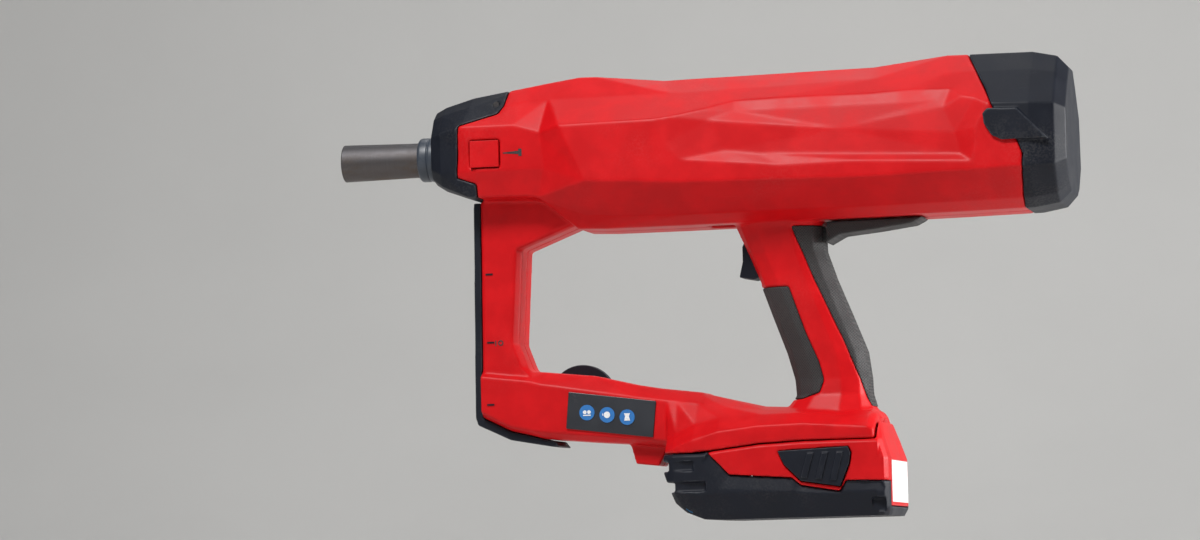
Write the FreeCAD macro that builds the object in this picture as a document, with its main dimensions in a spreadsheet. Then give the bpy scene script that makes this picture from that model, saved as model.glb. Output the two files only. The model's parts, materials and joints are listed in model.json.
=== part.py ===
import FreeCAD, Part
import os
import re

import Sketcher

# Battery nail gun, in millimetres. The origin is the centre of the muzzle. +X runs along the barrel
# to the rear of the tool, +Z is up, and -Y is the tool's left side.

# Driving dimensions: alias, value, meaning.
DIMENSIONS = [
    # barrel housing: stations along X
    ("nose_x", 55.5, "front face of the nose cap"),
    ("brow_x", 62, "end of the nose cap's front bevels"),
    ("cheek_x", 78, "nose block reaches its full width"),
    ("block_end_x", 117, "nose block begins to widen into the barrel housing"),
    ("hump_x", 137, "front of the hump on top"),
    ("saddle_x", 184, "end of the slope behind the hump"),
    ("tail_x", 300, "tail begins to rise"),
    ("crest_x", 340, "tail's highest place"),
    ("end_x", 405, "rear end of the tool"),
    # barrel housing: half widths of the six crease lines, nose block and full section
    ("block_top_w", 15, "nose block: half width of the top flat"),
    ("block_shoulder_w", 25, "nose block: half width at the shoulder crease"),
    ("block_side_w", 36, "nose block: half width at the sides"),
    ("block_keel_w", 31, "nose block: half width at the keel crease"),
    ("block_belly_w", 18, "nose block: half width of the belly"),
    ("full_top_w", 12, "housing: half width of the top flat"),
    ("full_shoulder_w", 24, "housing: half width at the shoulder crease"),
    ("full_waist_w", 43, "housing: half width at the waist crease"),
    ("full_hip_w", 45, "housing: half width at the hip crease"),
    ("full_keel_w", 30.5, "housing: half width at the keel crease"),
    ("full_belly_w", 20, "housing: half width of the belly"),
    # barrel housing: heights of the crease lines
    ("hump_z", 40.6, "height of the hump"),
    ("saddle_z", 36.4, "height of the top behind the hump"),
    ("crest_z", 42.5, "height of the tail"),
    ("shoulder_z", 28, "height of the shoulder crease"),
    ("waist_z", 12, "height of the waist crease"),
    ("hip_z", -22, "height of the hip crease"),
    ("keel_z", -38.5, "height of the keel crease"),
    ("belly_z", -44, "height of the belly"),
    ("block_belly_z", -26, "height of the nose block's belly"),
    ("panel_top_z", 11, "upper edge of the button panel"),
    ("panel_low_z", -10.8, "lower edge of the button panel"),
    # frame below the barrel housing
    ("wall", 3, "wall thickness of the moulded shells"),
    ("column_front_x", 79.5, "front face of the column"),
    ("column_back_x", 101, "rear face of the column"),
    ("column_w", 16.5, "half width of the column"),
    ("beam_w", 20, "half width of the lower beam"),
    ("foot_w", 38.5, "half width of the battery foot and the battery"),
    ("handle_w", 18, "half width of the handle"),
    ("handle_depth", 41, "front to back depth of the handle"),
    ("grip_t", 2.6, "thickness of the rubber grips"),
    ("seam", 0.3, "gap left between moulded parts"),
    # nose
    ("bore_r", 6, "barrel bore radius"),
    ("muzzle_r", 10.3, "barrel radius at the muzzle"),
    ("barrel_r", 9.6, "barrel radius at the collar"),
    ("barrel_back_x", 79, "rear end of the barrel"),
    ("bore_length", 40, "length of the wide bore"),
    ("guide_r", 3.6, "radius of the driver's guide bore"),
    ("stop_flange_r", 12.6, "radius of the barrel's stop flange"),
    ("stop_flange_x", 74, "front face of the barrel's stop flange"),
    ("collar_front_x", 43.6, "front face of the collar"),
    ("collar_r", 12.2, "collar radius"),
    ("run_gap", 0.08, "radial gap of a running fit"),
    # drive
    ("rod_r", 3.5, "driver rod radius"),
    ("rod_front_x", 62, "front end of the driver rod"),
    ("piston_x", 130, "front face of the piston"),
    ("piston_r", 12.2, "piston radius"),
    ("piston_len", 12, "piston length"),
    ("sleeve_r", 8.5, "outer radius of the driver's sleeve"),
    ("sleeve_bore_r", 6.9, "inner radius of the driver's sleeve"),
    ("nut_x", 207, "front face of the nut's flange"),
    ("nut_len", 9, "length of the nut's flange"),
    ("nut_r", 23, "radius of the nut's flange"),
    ("tube_front_x", 96, "front end of the guide tube"),
    ("tube_back_x", 204, "rear end of the guide tube"),
    ("tube_r", 15, "outer radius of the guide tube"),
    ("spindle_r", 6, "spindle radius"),
    ("spindle_front_x", 200, "front end of the spindle"),
    ("spindle_back_x", 293, "rear end of the spindle"),
    ("seat_x", 272, "front face of the rear spring seat"),
    ("spring_r", 18, "mean radius of the drive spring"),
    ("spring_wire_r", 2, "wire radius of the drive spring"),
    ("plate_x", 276.5, "front face of the gearbox plate"),
    ("plate_t", 7, "thickness of the gearbox plate"),
    ("gear_x", 285.5, "front face of the gears"),
    ("gear_t", 6, "width of the gears"),
    ("gear_module", 1, "module of the gears"),
    ("gear_teeth", 28, "teeth on the spindle gear"),
    ("pinion_teeth", 12, "teeth on the motor pinion"),
    ("motor_drop", 20, "distance of the motor shaft below the spindle"),
    ("motor_x", 300, "front face of the motor"),
    ("motor_len", 50, "length of the motor"),
    ("motor_r", 17.5, "radius of the motor"),
    ("shaft_r", 2.5, "motor shaft radius"),
    # controls
    ("button_x", 80, "front edge of the release button"),
    ("button_len", 16.2, "length of the release button"),
    ("button_z", -8.8, "lower edge of the release button"),
    ("button_h", 14.6, "height of the release button"),
    ("button_t", 4.5, "thickness of the release button"),
    ("trigger_pin_x", 241, "trigger pivot, along X"),
    ("trigger_pin_z", -47, "trigger pivot, height"),
    ("trigger_w", 7.5, "half width of the trigger"),
    ("trigger_pin_r", 2, "radius of the trigger's pin"),
    ("hook_pin_x", 166, "hook pivot, along X"),
    ("hook_pin_z", -148, "hook pivot, height"),
    ("hook_w", 6, "thickness of the hook"),
    ("hook_eye_x", 127, "centre of the hook's claw, along X"),
    ("hook_eye_z", -134, "centre of the hook's claw, height"),
    ("hook_out_r", 18.5, "outer radius of the hook's claw"),
    ("hook_in_r", 12, "inner radius of the hook's claw"),
    # battery
    ("battery_top_z", -163, "top of the battery's shoulders"),
    ("battery_bottom_z", -204, "bottom of the battery"),
    ("battery_front_x", 182, "front of the battery"),
    ("battery_back_x", 305.5, "rear of the battery"),
    ("cell_r", 9, "cell radius"),
    ("latch_t", 3.8, "thickness of a battery latch"),
    ("screw_r", 2, "radius of the housing screws"),
    ("screw_head_r", 3.8, "radius of the housing screws' heads"),
]

VALUES = {alias: float(value) for alias, value, _ in DIMENSIONS}
MIRROR_Y = FreeCAD.Vector(0, 1, 0)
FAR = 400.0

doc = FreeCAD.newDocument("nail_gun")
sheet = doc.addObject("Spreadsheet::Sheet", "Sizes")
nodes = {}


def fill_sheet():
    """Write the driving dimensions into the spreadsheet: alias, value, meaning."""
    for row, (alias, value, meaning) in enumerate(DIMENSIONS, start=1):
        sheet.set("A%d" % row, alias)
        sheet.set("B%d" % row, str(value))
        sheet.set("C%d" % row, meaning)
        sheet.setAlias("B%d" % row, alias)
    doc.recompute()


def size(alias):
    """Read one driving dimension back from the spreadsheet."""
    return float(sheet.get(alias))


def bound(text):
    """Turn words that are aliases into references to the spreadsheet."""
    def name(match):
        word = match.group(0)
        return "Sizes." + word if word in VALUES else word

    return re.sub(r"[a-z_]+", name, str(text))


def number(text):
    """Work out an expression of aliases with the spreadsheet's values."""
    total = 0.0
    for sign, term in re.findall(r"([+-]?)\s*([a-z_0-9.* /]+)", str(text)):
        value = 1.0
        divide = False
        for factor in re.split(r"([*/])", term):
            word = factor.strip()
            if word in ("*", "/"):
                divide = word == "/"
                continue
            amount = size(word) if word in VALUES else float(word)
            value = value / amount if divide else value * amount
        total += -value if sign == "-" else value
    return total


def vec(x, y, z):
    return FreeCAD.Vector(x, y, z)


# ---------------------------------------------------------------- parametric bodies


def origin_plane(body, role):
    """Return one of the body's own origin planes."""
    return next(item for item in body.Origin.OriginFeatures if item.Role == role)


def profile_sketch(body, name, role, points):
    """Add a closed polygon whose corners are bound to spreadsheet expressions."""
    sketch = body.newObject("Sketcher::SketchObject", name)
    sketch.AttachmentSupport = (origin_plane(body, role), [""])
    sketch.MapMode = "FlatFace"
    places = [(number(a), number(b)) for a, b in points]
    count = len(points)
    for i in range(count):
        start = vec(places[i][0], places[i][1], 0)
        stop = vec(places[(i + 1) % count][0], places[(i + 1) % count][1], 0)
        sketch.addGeometry(Part.LineSegment(start, stop), False)
    for i in range(count):
        sketch.addConstraint(Sketcher.Constraint("Coincident", i, 2, (i + 1) % count, 1))
    for i, (a, b) in enumerate(points):
        for kind, text, value in (("DistanceX", a, places[i][0]), ("DistanceY", b, places[i][1])):
            index = sketch.addConstraint(Sketcher.Constraint(kind, -1, 1, i, 1, value))
            sketch.setExpression("Constraints[%d]" % index, bound(text))
    return sketch


def circle_sketch(body, name, role, circles):
    """Add circles, each (x, y, radius) bound to spreadsheet expressions."""
    sketch = body.newObject("Sketcher::SketchObject", name)
    sketch.AttachmentSupport = (origin_plane(body, role), [""])
    sketch.MapMode = "FlatFace"
    for i, (a, b, radius) in enumerate(circles):
        centre = vec(number(a), number(b), 0)
        sketch.addGeometry(Part.Circle(centre, vec(0, 0, 1), number(radius)), False)
        for kind, text in (("DistanceX", a), ("DistanceY", b)):
            index = sketch.addConstraint(Sketcher.Constraint(kind, -1, 1, i, 3, number(text)))
            sketch.setExpression("Constraints[%d]" % index, bound(text))
        index = sketch.addConstraint(Sketcher.Constraint("Radius", i, number(radius)))
        sketch.setExpression("Constraints[%d]" % index, bound(radius))
    return sketch


def new_body(node):
    body = doc.addObject("PartDesign::Body", node)
    body.Label = node
    nodes[node] = body
    return body


def revolved(node, points, place=(0, 0, 0)):
    """Turn a half profile, given as (x, radius) corners, about the body's X axis."""
    body = new_body(node)
    sketch = profile_sketch(body, node + "_profile", "XZ_Plane", points)
    turn = body.newObject("PartDesign::Revolution", node + "_turn")
    turn.Profile = sketch
    turn.ReferenceAxis = (sketch, ["H_Axis"])
    turn.Angle = 360
    for axis, text in zip("xyz", place):
        body.setExpression("Placement.Base." + axis, bound(text))
    doc.recompute()
    return body


def padded(node, points, length, place=(0, 0, 0), role="XZ_Plane"):
    """Pad a polygon evenly to both sides of one of the body's origin planes."""
    body = new_body(node)
    sketch = profile_sketch(body, node + "_outline", role, points)
    pad = body.newObject("PartDesign::Pad", node + "_pad")
    pad.Profile = sketch
    pad.Midplane = True
    pad.setExpression("Length", bound(length))
    for axis, text in zip("xyz", place):
        body.setExpression("Placement.Base." + axis, bound(text))
    doc.recompute()
    return body


def pocket_circles(body, name, role, circles):
    """Cut round holes right through a body and check that it lost material."""
    before = body.Shape.Volume
    sketch = circle_sketch(body, name + "_circles", role, circles)
    pocket = body.newObject("PartDesign::Pocket", name)
    pocket.Profile = sketch
    pocket.Type = "ThroughAll"
    pocket.Midplane = True
    doc.recompute()
    if body.Shape.Volume > before - 0.5:
        raise RuntimeError(name + " cuts nothing")
    return pocket


def rounded(body, name, radius, wanted):
    """Fillet the edges of the tip that a test picks."""
    edges = []
    for index, edge in enumerate(body.Shape.Edges, start=1):
        if wanted(edge):
            edges.append("Edge%d" % index)
    fillet = body.newObject("PartDesign::Fillet", name)
    fillet.Base = (body.Tip if body.Tip is not fillet else fillet.BaseFeature, edges)
    fillet.setExpression("Radius", bound(radius))
    doc.recompute()
    return fillet


# ---------------------------------------------------------------- faceted solids


def flat_faces(a, b, c, d, inside):
    """Close four corners with one flat face, or with two triangles folded outwards."""
    corners = [a, b, c, d]
    kept = [p for i, p in enumerate(corners) if (p - corners[i - 1]).Length > 1e-6]
    if len(kept) < 3:
        return []
    if len(kept) == 3:
        return [Part.Face(Part.makePolygon(kept + kept[:1]))]
    normal = (b - a).cross(d - a)
    if normal.Length > 1e-9 and abs(normal.normalize().dot(c - a)) < 1e-5:
        return [Part.Face(Part.makePolygon([a, b, c, d, a]))]
    if ((a + c) * 0.5 - inside).Length >= ((b + d) * 0.5 - inside).Length:
        halves = ([a, b, c, a], [a, c, d, a])
    else:
        halves = ([a, b, d, a], [b, c, d, b])
    return [Part.Face(Part.makePolygon(points)) for points in halves]


def stacked(rings):
    """Make a solid from rings of corners, each ring listed the same way round."""
    faces = []
    for ring in (rings[0], rings[-1]):
        faces.append(Part.Face(Part.makePolygon(ring + ring[:1])))
    for near, far in zip(rings, rings[1:]):
        middle = sum(near + far, vec(0, 0, 0)) * (0.5 / len(near))
        for i in range(len(near)):
            j = (i + 1) % len(near)
            faces += flat_faces(near[i], near[j], far[j], far[i], middle)
    shell = Part.Shell(faces)
    shell.sewShape()
    solid = Part.Solid(shell)
    if solid.Volume < 0:
        solid.reverse()
    return solid


def half_ring(stations, widths, heights):
    """A ring on the +Y side, closed on the centre plane, from the top round to the bottom."""
    corners = [vec(x, w, z) for x, w, z in zip(stations, widths, heights)]
    top = vec(stations[0], 0, heights[0])
    bottom = vec(stations[-1], 0, heights[-1])
    return [top] + corners + [bottom]


def inset_ring(ring, wall):
    """Move an upright half ring's corners in by a wall thickness, towards its middle height."""
    high = max(p.z for p in ring)
    low = min(p.z for p in ring)
    wide = max(p.y for p in ring)
    middle = (high + low) / 2
    by_height = 1 - 2 * wall / (high - low)
    by_width = 1 - wall / wide
    return [vec(p.x, p.y * by_width, middle + (p.z - middle) * by_height) for p in ring]


def inset_level_ring(ring, wall):
    """Move a level half ring's corners in by a wall thickness, towards its middle."""
    back = max(p.x for p in ring)
    front = min(p.x for p in ring)
    wide = max(p.y for p in ring)
    middle = (back + front) / 2
    by_depth = 1 - 2 * wall / (back - front)
    by_width = 1 - wall / wide
    return [vec(middle + (p.x - middle) * by_depth, p.y * by_width, p.z) for p in ring]


def shifted_ring(ring, along_x):
    return [vec(p.x + along_x, p.y, p.z) for p in ring]


def mirrored(shape):
    """The same shape on the other side of the centre plane."""
    return shape.mirror(vec(0, 0, 0), MIRROR_Y)


def both_sides(shape):
    return shape.fuse(mirrored(shape)).removeSplitter()


def side_prism(points, low_y, high_y):
    """Extrude a polygon in the XZ plane from one Y to another."""
    corners = [vec(x, low_y, z) for x, z in points]
    return Part.Face(Part.makePolygon(corners + corners[:1])).extrude(vec(0, high_y - low_y, 0))


def box(low, high):
    """A box between two corners."""
    spans = [b - a for a, b in zip(low, high)]
    return Part.makeBox(spans[0], spans[1], spans[2], vec(*low))


def keep(node, shape, place=(0, 0, 0), turn=FreeCAD.Rotation()):
    """Store a solid made with Part's functions as one sub-part."""
    feature = doc.addObject("Part::Feature", node)
    feature.Label = node
    feature.Shape = shape
    feature.Placement = FreeCAD.Placement(vec(*place), turn)
    nodes[node] = feature
    return feature


# ---------------------------------------------------------------- outer shape of the moulded shells


def barrel_rings():
    """Half rings of the barrel housing: top, shoulder, waist, hip, keel and belly creases."""
    top_w, shoulder_w, waist_w = size("full_top_w"), size("full_shoulder_w"), size("full_waist_w")
    hip_w, keel_w, belly_w = size("full_hip_w"), size("full_keel_w"), size("full_belly_w")
    side_w = size("block_side_w")
    shoulder_z, waist_z, hip_z = size("shoulder_z"), size("waist_z"), size("hip_z")
    keel_z, belly_z, block_z = size("keel_z"), size("belly_z"), size("block_belly_z")
    block = [size("block_top_w"), size("block_shoulder_w"), side_w, side_w]
    block += [size("block_keel_w"), size("block_belly_w")]
    full = [top_w, shoulder_w, waist_w, hip_w, keel_w, belly_w]
    nose, brow, cheek = size("nose_x"), size("brow_x"), size("cheek_x")
    neck, hump, saddle = size("block_end_x"), size("hump_x"), size("saddle_x")
    tail, crest, end = size("tail_x"), size("crest_x"), size("end_x")
    hump_z, saddle_z, crest_z = size("hump_z"), size("saddle_z"), size("crest_z")
    panel_top, panel_low = size("panel_top_z"), size("panel_low_z")
    rings = [
        half_ring([nose] * 6, [w * 0.72 for w in block], [24.5, 20, 9, -8, -13, -15.5]),
        half_ring([brow] * 6, [w * 0.88 for w in block], [27.3, 22, 10.5, -11, -17.5, -19.5]),
        half_ring([cheek, cheek, cheek - 3, cheek + 6, cheek, cheek], block,
                  [31.5, 25.5, panel_top + 2.5, panel_low, block_z + 1.4, block_z + 0.7]),
        half_ring([neck - 7, neck - 7, neck - 13, neck - 7, neck - 7, neck - 7], block,
                  [36.3, 27.5, panel_top + 2.4, panel_low, block_z + 0.6, block_z]),
        half_ring([neck, neck + 5, neck + 2, neck + 4, neck - 1, neck], block,
                  [37.4, 27.8, panel_top - 2, panel_low, block_z - 0.2, block_z - 1]),
        half_ring([hump, hump - 7, hump - 6, hump + 8, hump + 4, hump - 1], full,
                  [hump_z, shoulder_z, waist_z - 0.5, hip_z + 2.6, keel_z + 2, belly_z + 0.6]),
        half_ring([hump + 9, hump + 15, hump + 28, hump + 28, hump + 24, hump + 14], full,
                  [hump_z - 0.2, shoulder_z, waist_z, hip_z + 1.7, keel_z + 0.4, belly_z]),
        half_ring([saddle, saddle + 6, saddle + 6, saddle + 16, saddle + 16, saddle + 6], full,
                  [saddle_z, shoulder_z, waist_z + 0.4, hip_z - 0.5, keel_z - 0.3, belly_z]),
        half_ring([tail] * 6, full, [saddle_z + 1.6, 30.2, waist_z + 1, hip_z - 1.8, keel_z, belly_z + 0.6]),
        half_ring([crest] * 6, full, [crest_z, 31.8, waist_z + 1, hip_z - 1, keel_z + 0.4, belly_z + 1]),
        half_ring([end - 19] * 6, full,
                  [crest_z - 0.3, 31.5, waist_z, hip_z + 0.5, keel_z + 1, belly_z + 1.8]),
        half_ring([end - 6] * 6, [w * 0.94 for w in full], [39.5, 29.5, 11.5, -21, -35.5, -40]),
        half_ring([end] * 6, [w * 0.8 for w in full], [33, 24.5, 9, -18, -30, -34]),
    ]
    return rings


def column_rings():
    """Half rings of the column, from inside the barrel housing down into the beam."""
    front, back, wide = size("column_front_x"), size("column_back_x"), size("column_w")
    edge = 3.2
    stack = [
        (-22, front + 0.9, 146, wide + 1),
        (-34.5, front + 0.8, 140, wide + 0.6),
        (-41.5, front + 0.7, 132, wide + 0.4),
        (-53, front + 0.6, back + 1.7, wide),
        (-104.5, front, back - 1.5, wide),
        (-118, front - 0.2, back + 3.5, wide),
        (-126, front - 0.3, back + 12, wide),
    ]
    rings = []
    for z, x_front, x_back, w in stack:
        rings.append([vec(x_front, 0, z), vec(x_front, w - 1.5, z), vec(x_front + 1.5, w, z),
                      vec(x_back - edge, w, z), vec(x_back, w - edge - 1, z), vec(x_back, 0, z)])
    return rings


def beam_rings():
    """Half rings of the lower beam: top, upper crease, lower crease and sole."""
    front, wide = size("column_front_x"), size("beam_w")
    top_w, sole_w = wide - 8, wide - 5
    stack = [
        (front - 0.6, -118.5, -122, -141, -144.2),
        (front + 15, -119, -124, -149.5, -152),
        (front + 26, -119.7, -125.4, -152, -154.7),
        (front + 34, -120.4, -127.6, -153.2, -157),
        (front + 62, -123.4, -132.2, -156, -159.6),
        (front + 85, -129, -136, -158.5, -161.4),
        (front + 99, -131.5, -138, -160, -163),
        (front + 122, -134.5, -140.6, -161, -165),
    ]
    rings = []
    for x, top, upper, lower, sole in stack:
        rings.append(half_ring([x] * 4, [top_w, wide, wide, sole_w], [top, upper, lower, sole]))
    return rings


def foot_rings():
    """Half rings of the battery foot: top, crease, ridge, side and seam with the battery."""
    front, wide, crease_w = size("battery_front_x"), size("foot_w"), size("beam_w")
    top_w = crease_w - 8
    seam_z = size("battery_top_z") + size("seam")
    stack = [
        (front + 0.5, -132.4, -139, 24, -160, 30, -166.5, -167.6),
        (front + 6, -133.1, -139.4, 26.5, -157, wide - 3, -165, -167.6),
        (front + 17, -134.4, -140.7, 28.5, -152.4, wide - 0.5, -161, -167.6),
        (front + 31, -137.9, -142.4, 29, -149.2, wide, -157, seam_z - 3.5),
        (front + 53, -143.2, -145, 29, -147.9, wide, -154.5, seam_z - 1),
        (front + 78, -144.5, -145.6, 29, -147.9, wide, -154, seam_z),
        (front + 112, -146.5, -147.8, 28, -151, wide - 0.6, -156.5, seam_z),
        (front + 115.4, -148.5, -150, 27, -153, wide - 1.6, -158, seam_z),
    ]
    rings = []
    for x, top, crease, ridge_w, ridge, side_w, side, sole in stack:
        widths = [top_w, crease_w, ridge_w, side_w, side_w]
        rings.append(half_ring([x] * 5, widths, [top, crease, ridge, side, sole]))
    return rings


def handle_ring(z, x_middle, depth, wide):
    """A half ring of the handle: a rounded section, long from front to back."""
    half = depth / 2
    return [vec(x_middle - half, 0, z), vec(x_middle - half, wide * 0.42, z),
            vec(x_middle - half * 0.84, wide * 0.74, z), vec(x_middle - half * 0.45, wide * 0.97, z),
            vec(x_middle + half * 0.3, wide, z), vec(x_middle + half * 0.78, wide * 0.8, z),
            vec(x_middle + half, wide * 0.42, z), vec(x_middle + half, 0, z)]


def handle_stack():
    """Height, middle, depth and half width of the handle, which leans forward towards the top."""
    depth, wide = size("handle_depth"), size("handle_w")
    return [
        (-34, 246, depth + 13, wide + 5),
        (-47, 245, depth + 6, wide + 1.5),
        (-60, 248, depth + 1, wide),
        (-75, 253.5, depth, wide - 0.2),
        (-95, 261, depth + 1, wide),
        (-115, 268.5, depth + 1.5, wide - 0.2),
        (-129, 271.3, depth - 0.5, wide - 0.5),
        (-138, 271.8, depth - 1, wide + 1),
        (-146, 269.8, depth + 7, wide + 6),
        (-152, 268, depth + 21, wide + 9),
    ]


def handle_rings(shrink):
    """Rings of the handle, made smaller all round by a given amount."""
    return [handle_ring(z, x, depth - 2 * shrink, wide - shrink) for z, x, depth, wide in handle_stack()]


def cap_region(grow):
    """Side view of the nose cap's region: two arms above and below the button panel."""
    g = grow
    return [(30, 60), (97.8 + g, 60), (97.8 + g, 34), (97.2 + g, 25.5), (94.5 + g, 20.8 - g),
            (73 + g, 14.5 - g), (71.6 + g, -14 + g), (82.2 + g, -17.7 + g), (82.2 + g, -25.8 - g),
            (30, -25.8 - g)]


def tail_region(grow):
    """Side view of the rear cap's region."""
    g = grow
    return [(352 - g, 60), (352 - g, 41), (362.5 - g, 21), (370 - g, 4), (379.5 - g, -7), (382.7 - g, -15.5),
            (379 - g, -60), (430, -60), (430, 60)]


def recess_tool():
    """Cutter for the shallow panel on the housing's side, widest at the surface."""
    rim = [(184, 42.6, 14.3), (226.5, 33.8, 19.8), (339.5, 34.6, 20), (349.5, 38.4, 16.7),
           (357.5, 43.8, -0.5), (355.5, 44.8, -18), (253, 44.7, -16), (196.5, 44.4, -10.4)]
    floor = [(212, 39.5, 10.8), (226.5, 35.8, 15.6), (335.5, 36.2, 16), (340, 37.6, 12),
             (346, 40.4, -2), (349, 41.6, -13.6), (240, 41.2, -8.6), (222, 41, -6.2)]
    outer, inner = [], []
    for edge, bed in zip(rim, floor):
        on_rim, on_bed = vec(*edge), vec(*bed)
        outer.append(on_rim + (on_rim - on_bed) * 1.2)
        inner.append(on_bed)
    return stacked_fan(outer, inner)


def stacked_fan(outer, inner):
    """A solid between two loops that need not be flat: each end is a fan of triangles."""
    faces = []
    for loop in (outer, inner):
        centre = sum(loop, vec(0, 0, 0)) * (1.0 / len(loop))
        for i in range(len(loop)):
            j = (i + 1) % len(loop)
            faces.append(Part.Face(Part.makePolygon([loop[i], loop[j], centre, loop[i]])))
    for i in range(len(outer)):
        j = (i + 1) % len(outer)
        for points in ([outer[i], outer[j], inner[j]], [outer[i], inner[j], inner[i]]):
            faces.append(Part.Face(Part.makePolygon(points + points[:1])))
    shell = Part.Shell(faces)
    shell.sewShape()
    solid = Part.Solid(shell)
    if solid.Volume < 0:
        solid.reverse()
    return solid


def panel_backing():
    """Thicker wall behind the recessed panel, as a bar along X that the hollow leaves out."""
    section = [(33, 24.5), (60, 24.5), (60, -23), (38.6, -23)]
    return stacked([[vec(x, y, z) for y, z in section] for x in (178, 363)])


# Housing screws: x, z and how far their heads' faces lie from the centre plane.
SCREWS = [(91, -47, 15), (91, -112, 15), (99, -144, 18.5), (190, -152, 21.5), (262, -100, 16),
          (150, 24, 25), (320, 26.5, 25), (150, -36, 29), (215, -36, 29)]


# Screws of the nose cap: x and z.
CAP_SCREW = (92.8, 26.4)


def screw_bosses(outer):
    """Round posts inside one half of the housing, trimmed to its outer shape."""
    posts = [Part.makeCylinder(5, 60, vec(x, 0, z), vec(0, 1, 0)) for x, z, _ in SCREWS]
    return outer.common(Part.makeCompound(posts))


def screw_holes(head_side):
    """Holes for the housing screws: with head seats on the right half, blind on the left."""
    holes = []
    shank_r, head_r = size("screw_r") + size("run_gap"), size("screw_head_r") + 0.3
    for x, z, face in SCREWS:
        if head_side:
            holes.append(Part.makeCylinder(shank_r, 60, vec(x, -1, z), vec(0, 1, 0)))
            holes.append(Part.makeCylinder(head_r, 40, vec(x, face - 2.6, z), vec(0, 1, 0)))
        else:
            holes.append(Part.makeCylinder(shank_r, 13, vec(x, -12, z), vec(0, 1, 0)))
    return Part.makeCompound(holes)


def latch_outline(grow):
    """Side view of a battery latch, made larger all round."""
    corners = [(245.7, -168.4), (283.5, -167), (285, -170.5), (284, -176), (279, -188), (258, -184.5),
               (249, -175.5)]
    middle_x, middle_z = 266, -177
    points = []
    for x, z in corners:
        reach = ((x - middle_x) ** 2 + (z - middle_z) ** 2) ** 0.5
        stretch = 1 + grow / reach
        points.append((middle_x + (x - middle_x) * stretch, middle_z + (z - middle_z) * stretch))
    return points


def grip_front_region(grow):
    """Side view of the front grip's region, between the trigger and the foot."""
    g = grow
    return [(200, -79 + g), (250.5 + g, -79 + g), (259 + g, -104), (266 + g, -120.5), (268.3 + g, -130),
            (266 + g, -136.8 - g), (256, -140 - g), (200, -140 - g)]


def grip_rear_region(grow):
    """Side view of the rear grip's region, from the barrel housing to the foot."""
    g = grow
    return [(253 - g, -46.5 + g), (264.7 - g, -76.3), (279.4 - g, -108.8), (287.4 - g, -129.5),
            (290.5 - g, -140), (296 - g, -150 - g), (310, -150 - g), (310, -46.5 + g)]


def drop_tool():
    """The space that the trigger swings in, cut through the handle's front and the belly."""
    wide = size("trigger_w") + 0.6
    return box((205, -wide, -77), (248, wide, -38))


def lug_prism():
    """The stop in front of the battery, on the +Y side of the centre plane."""
    return side_prism([(159, -157), (163, -172), (175.7, -173.5), (179.5, -166), (184, -157)], 0, 12)


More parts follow.
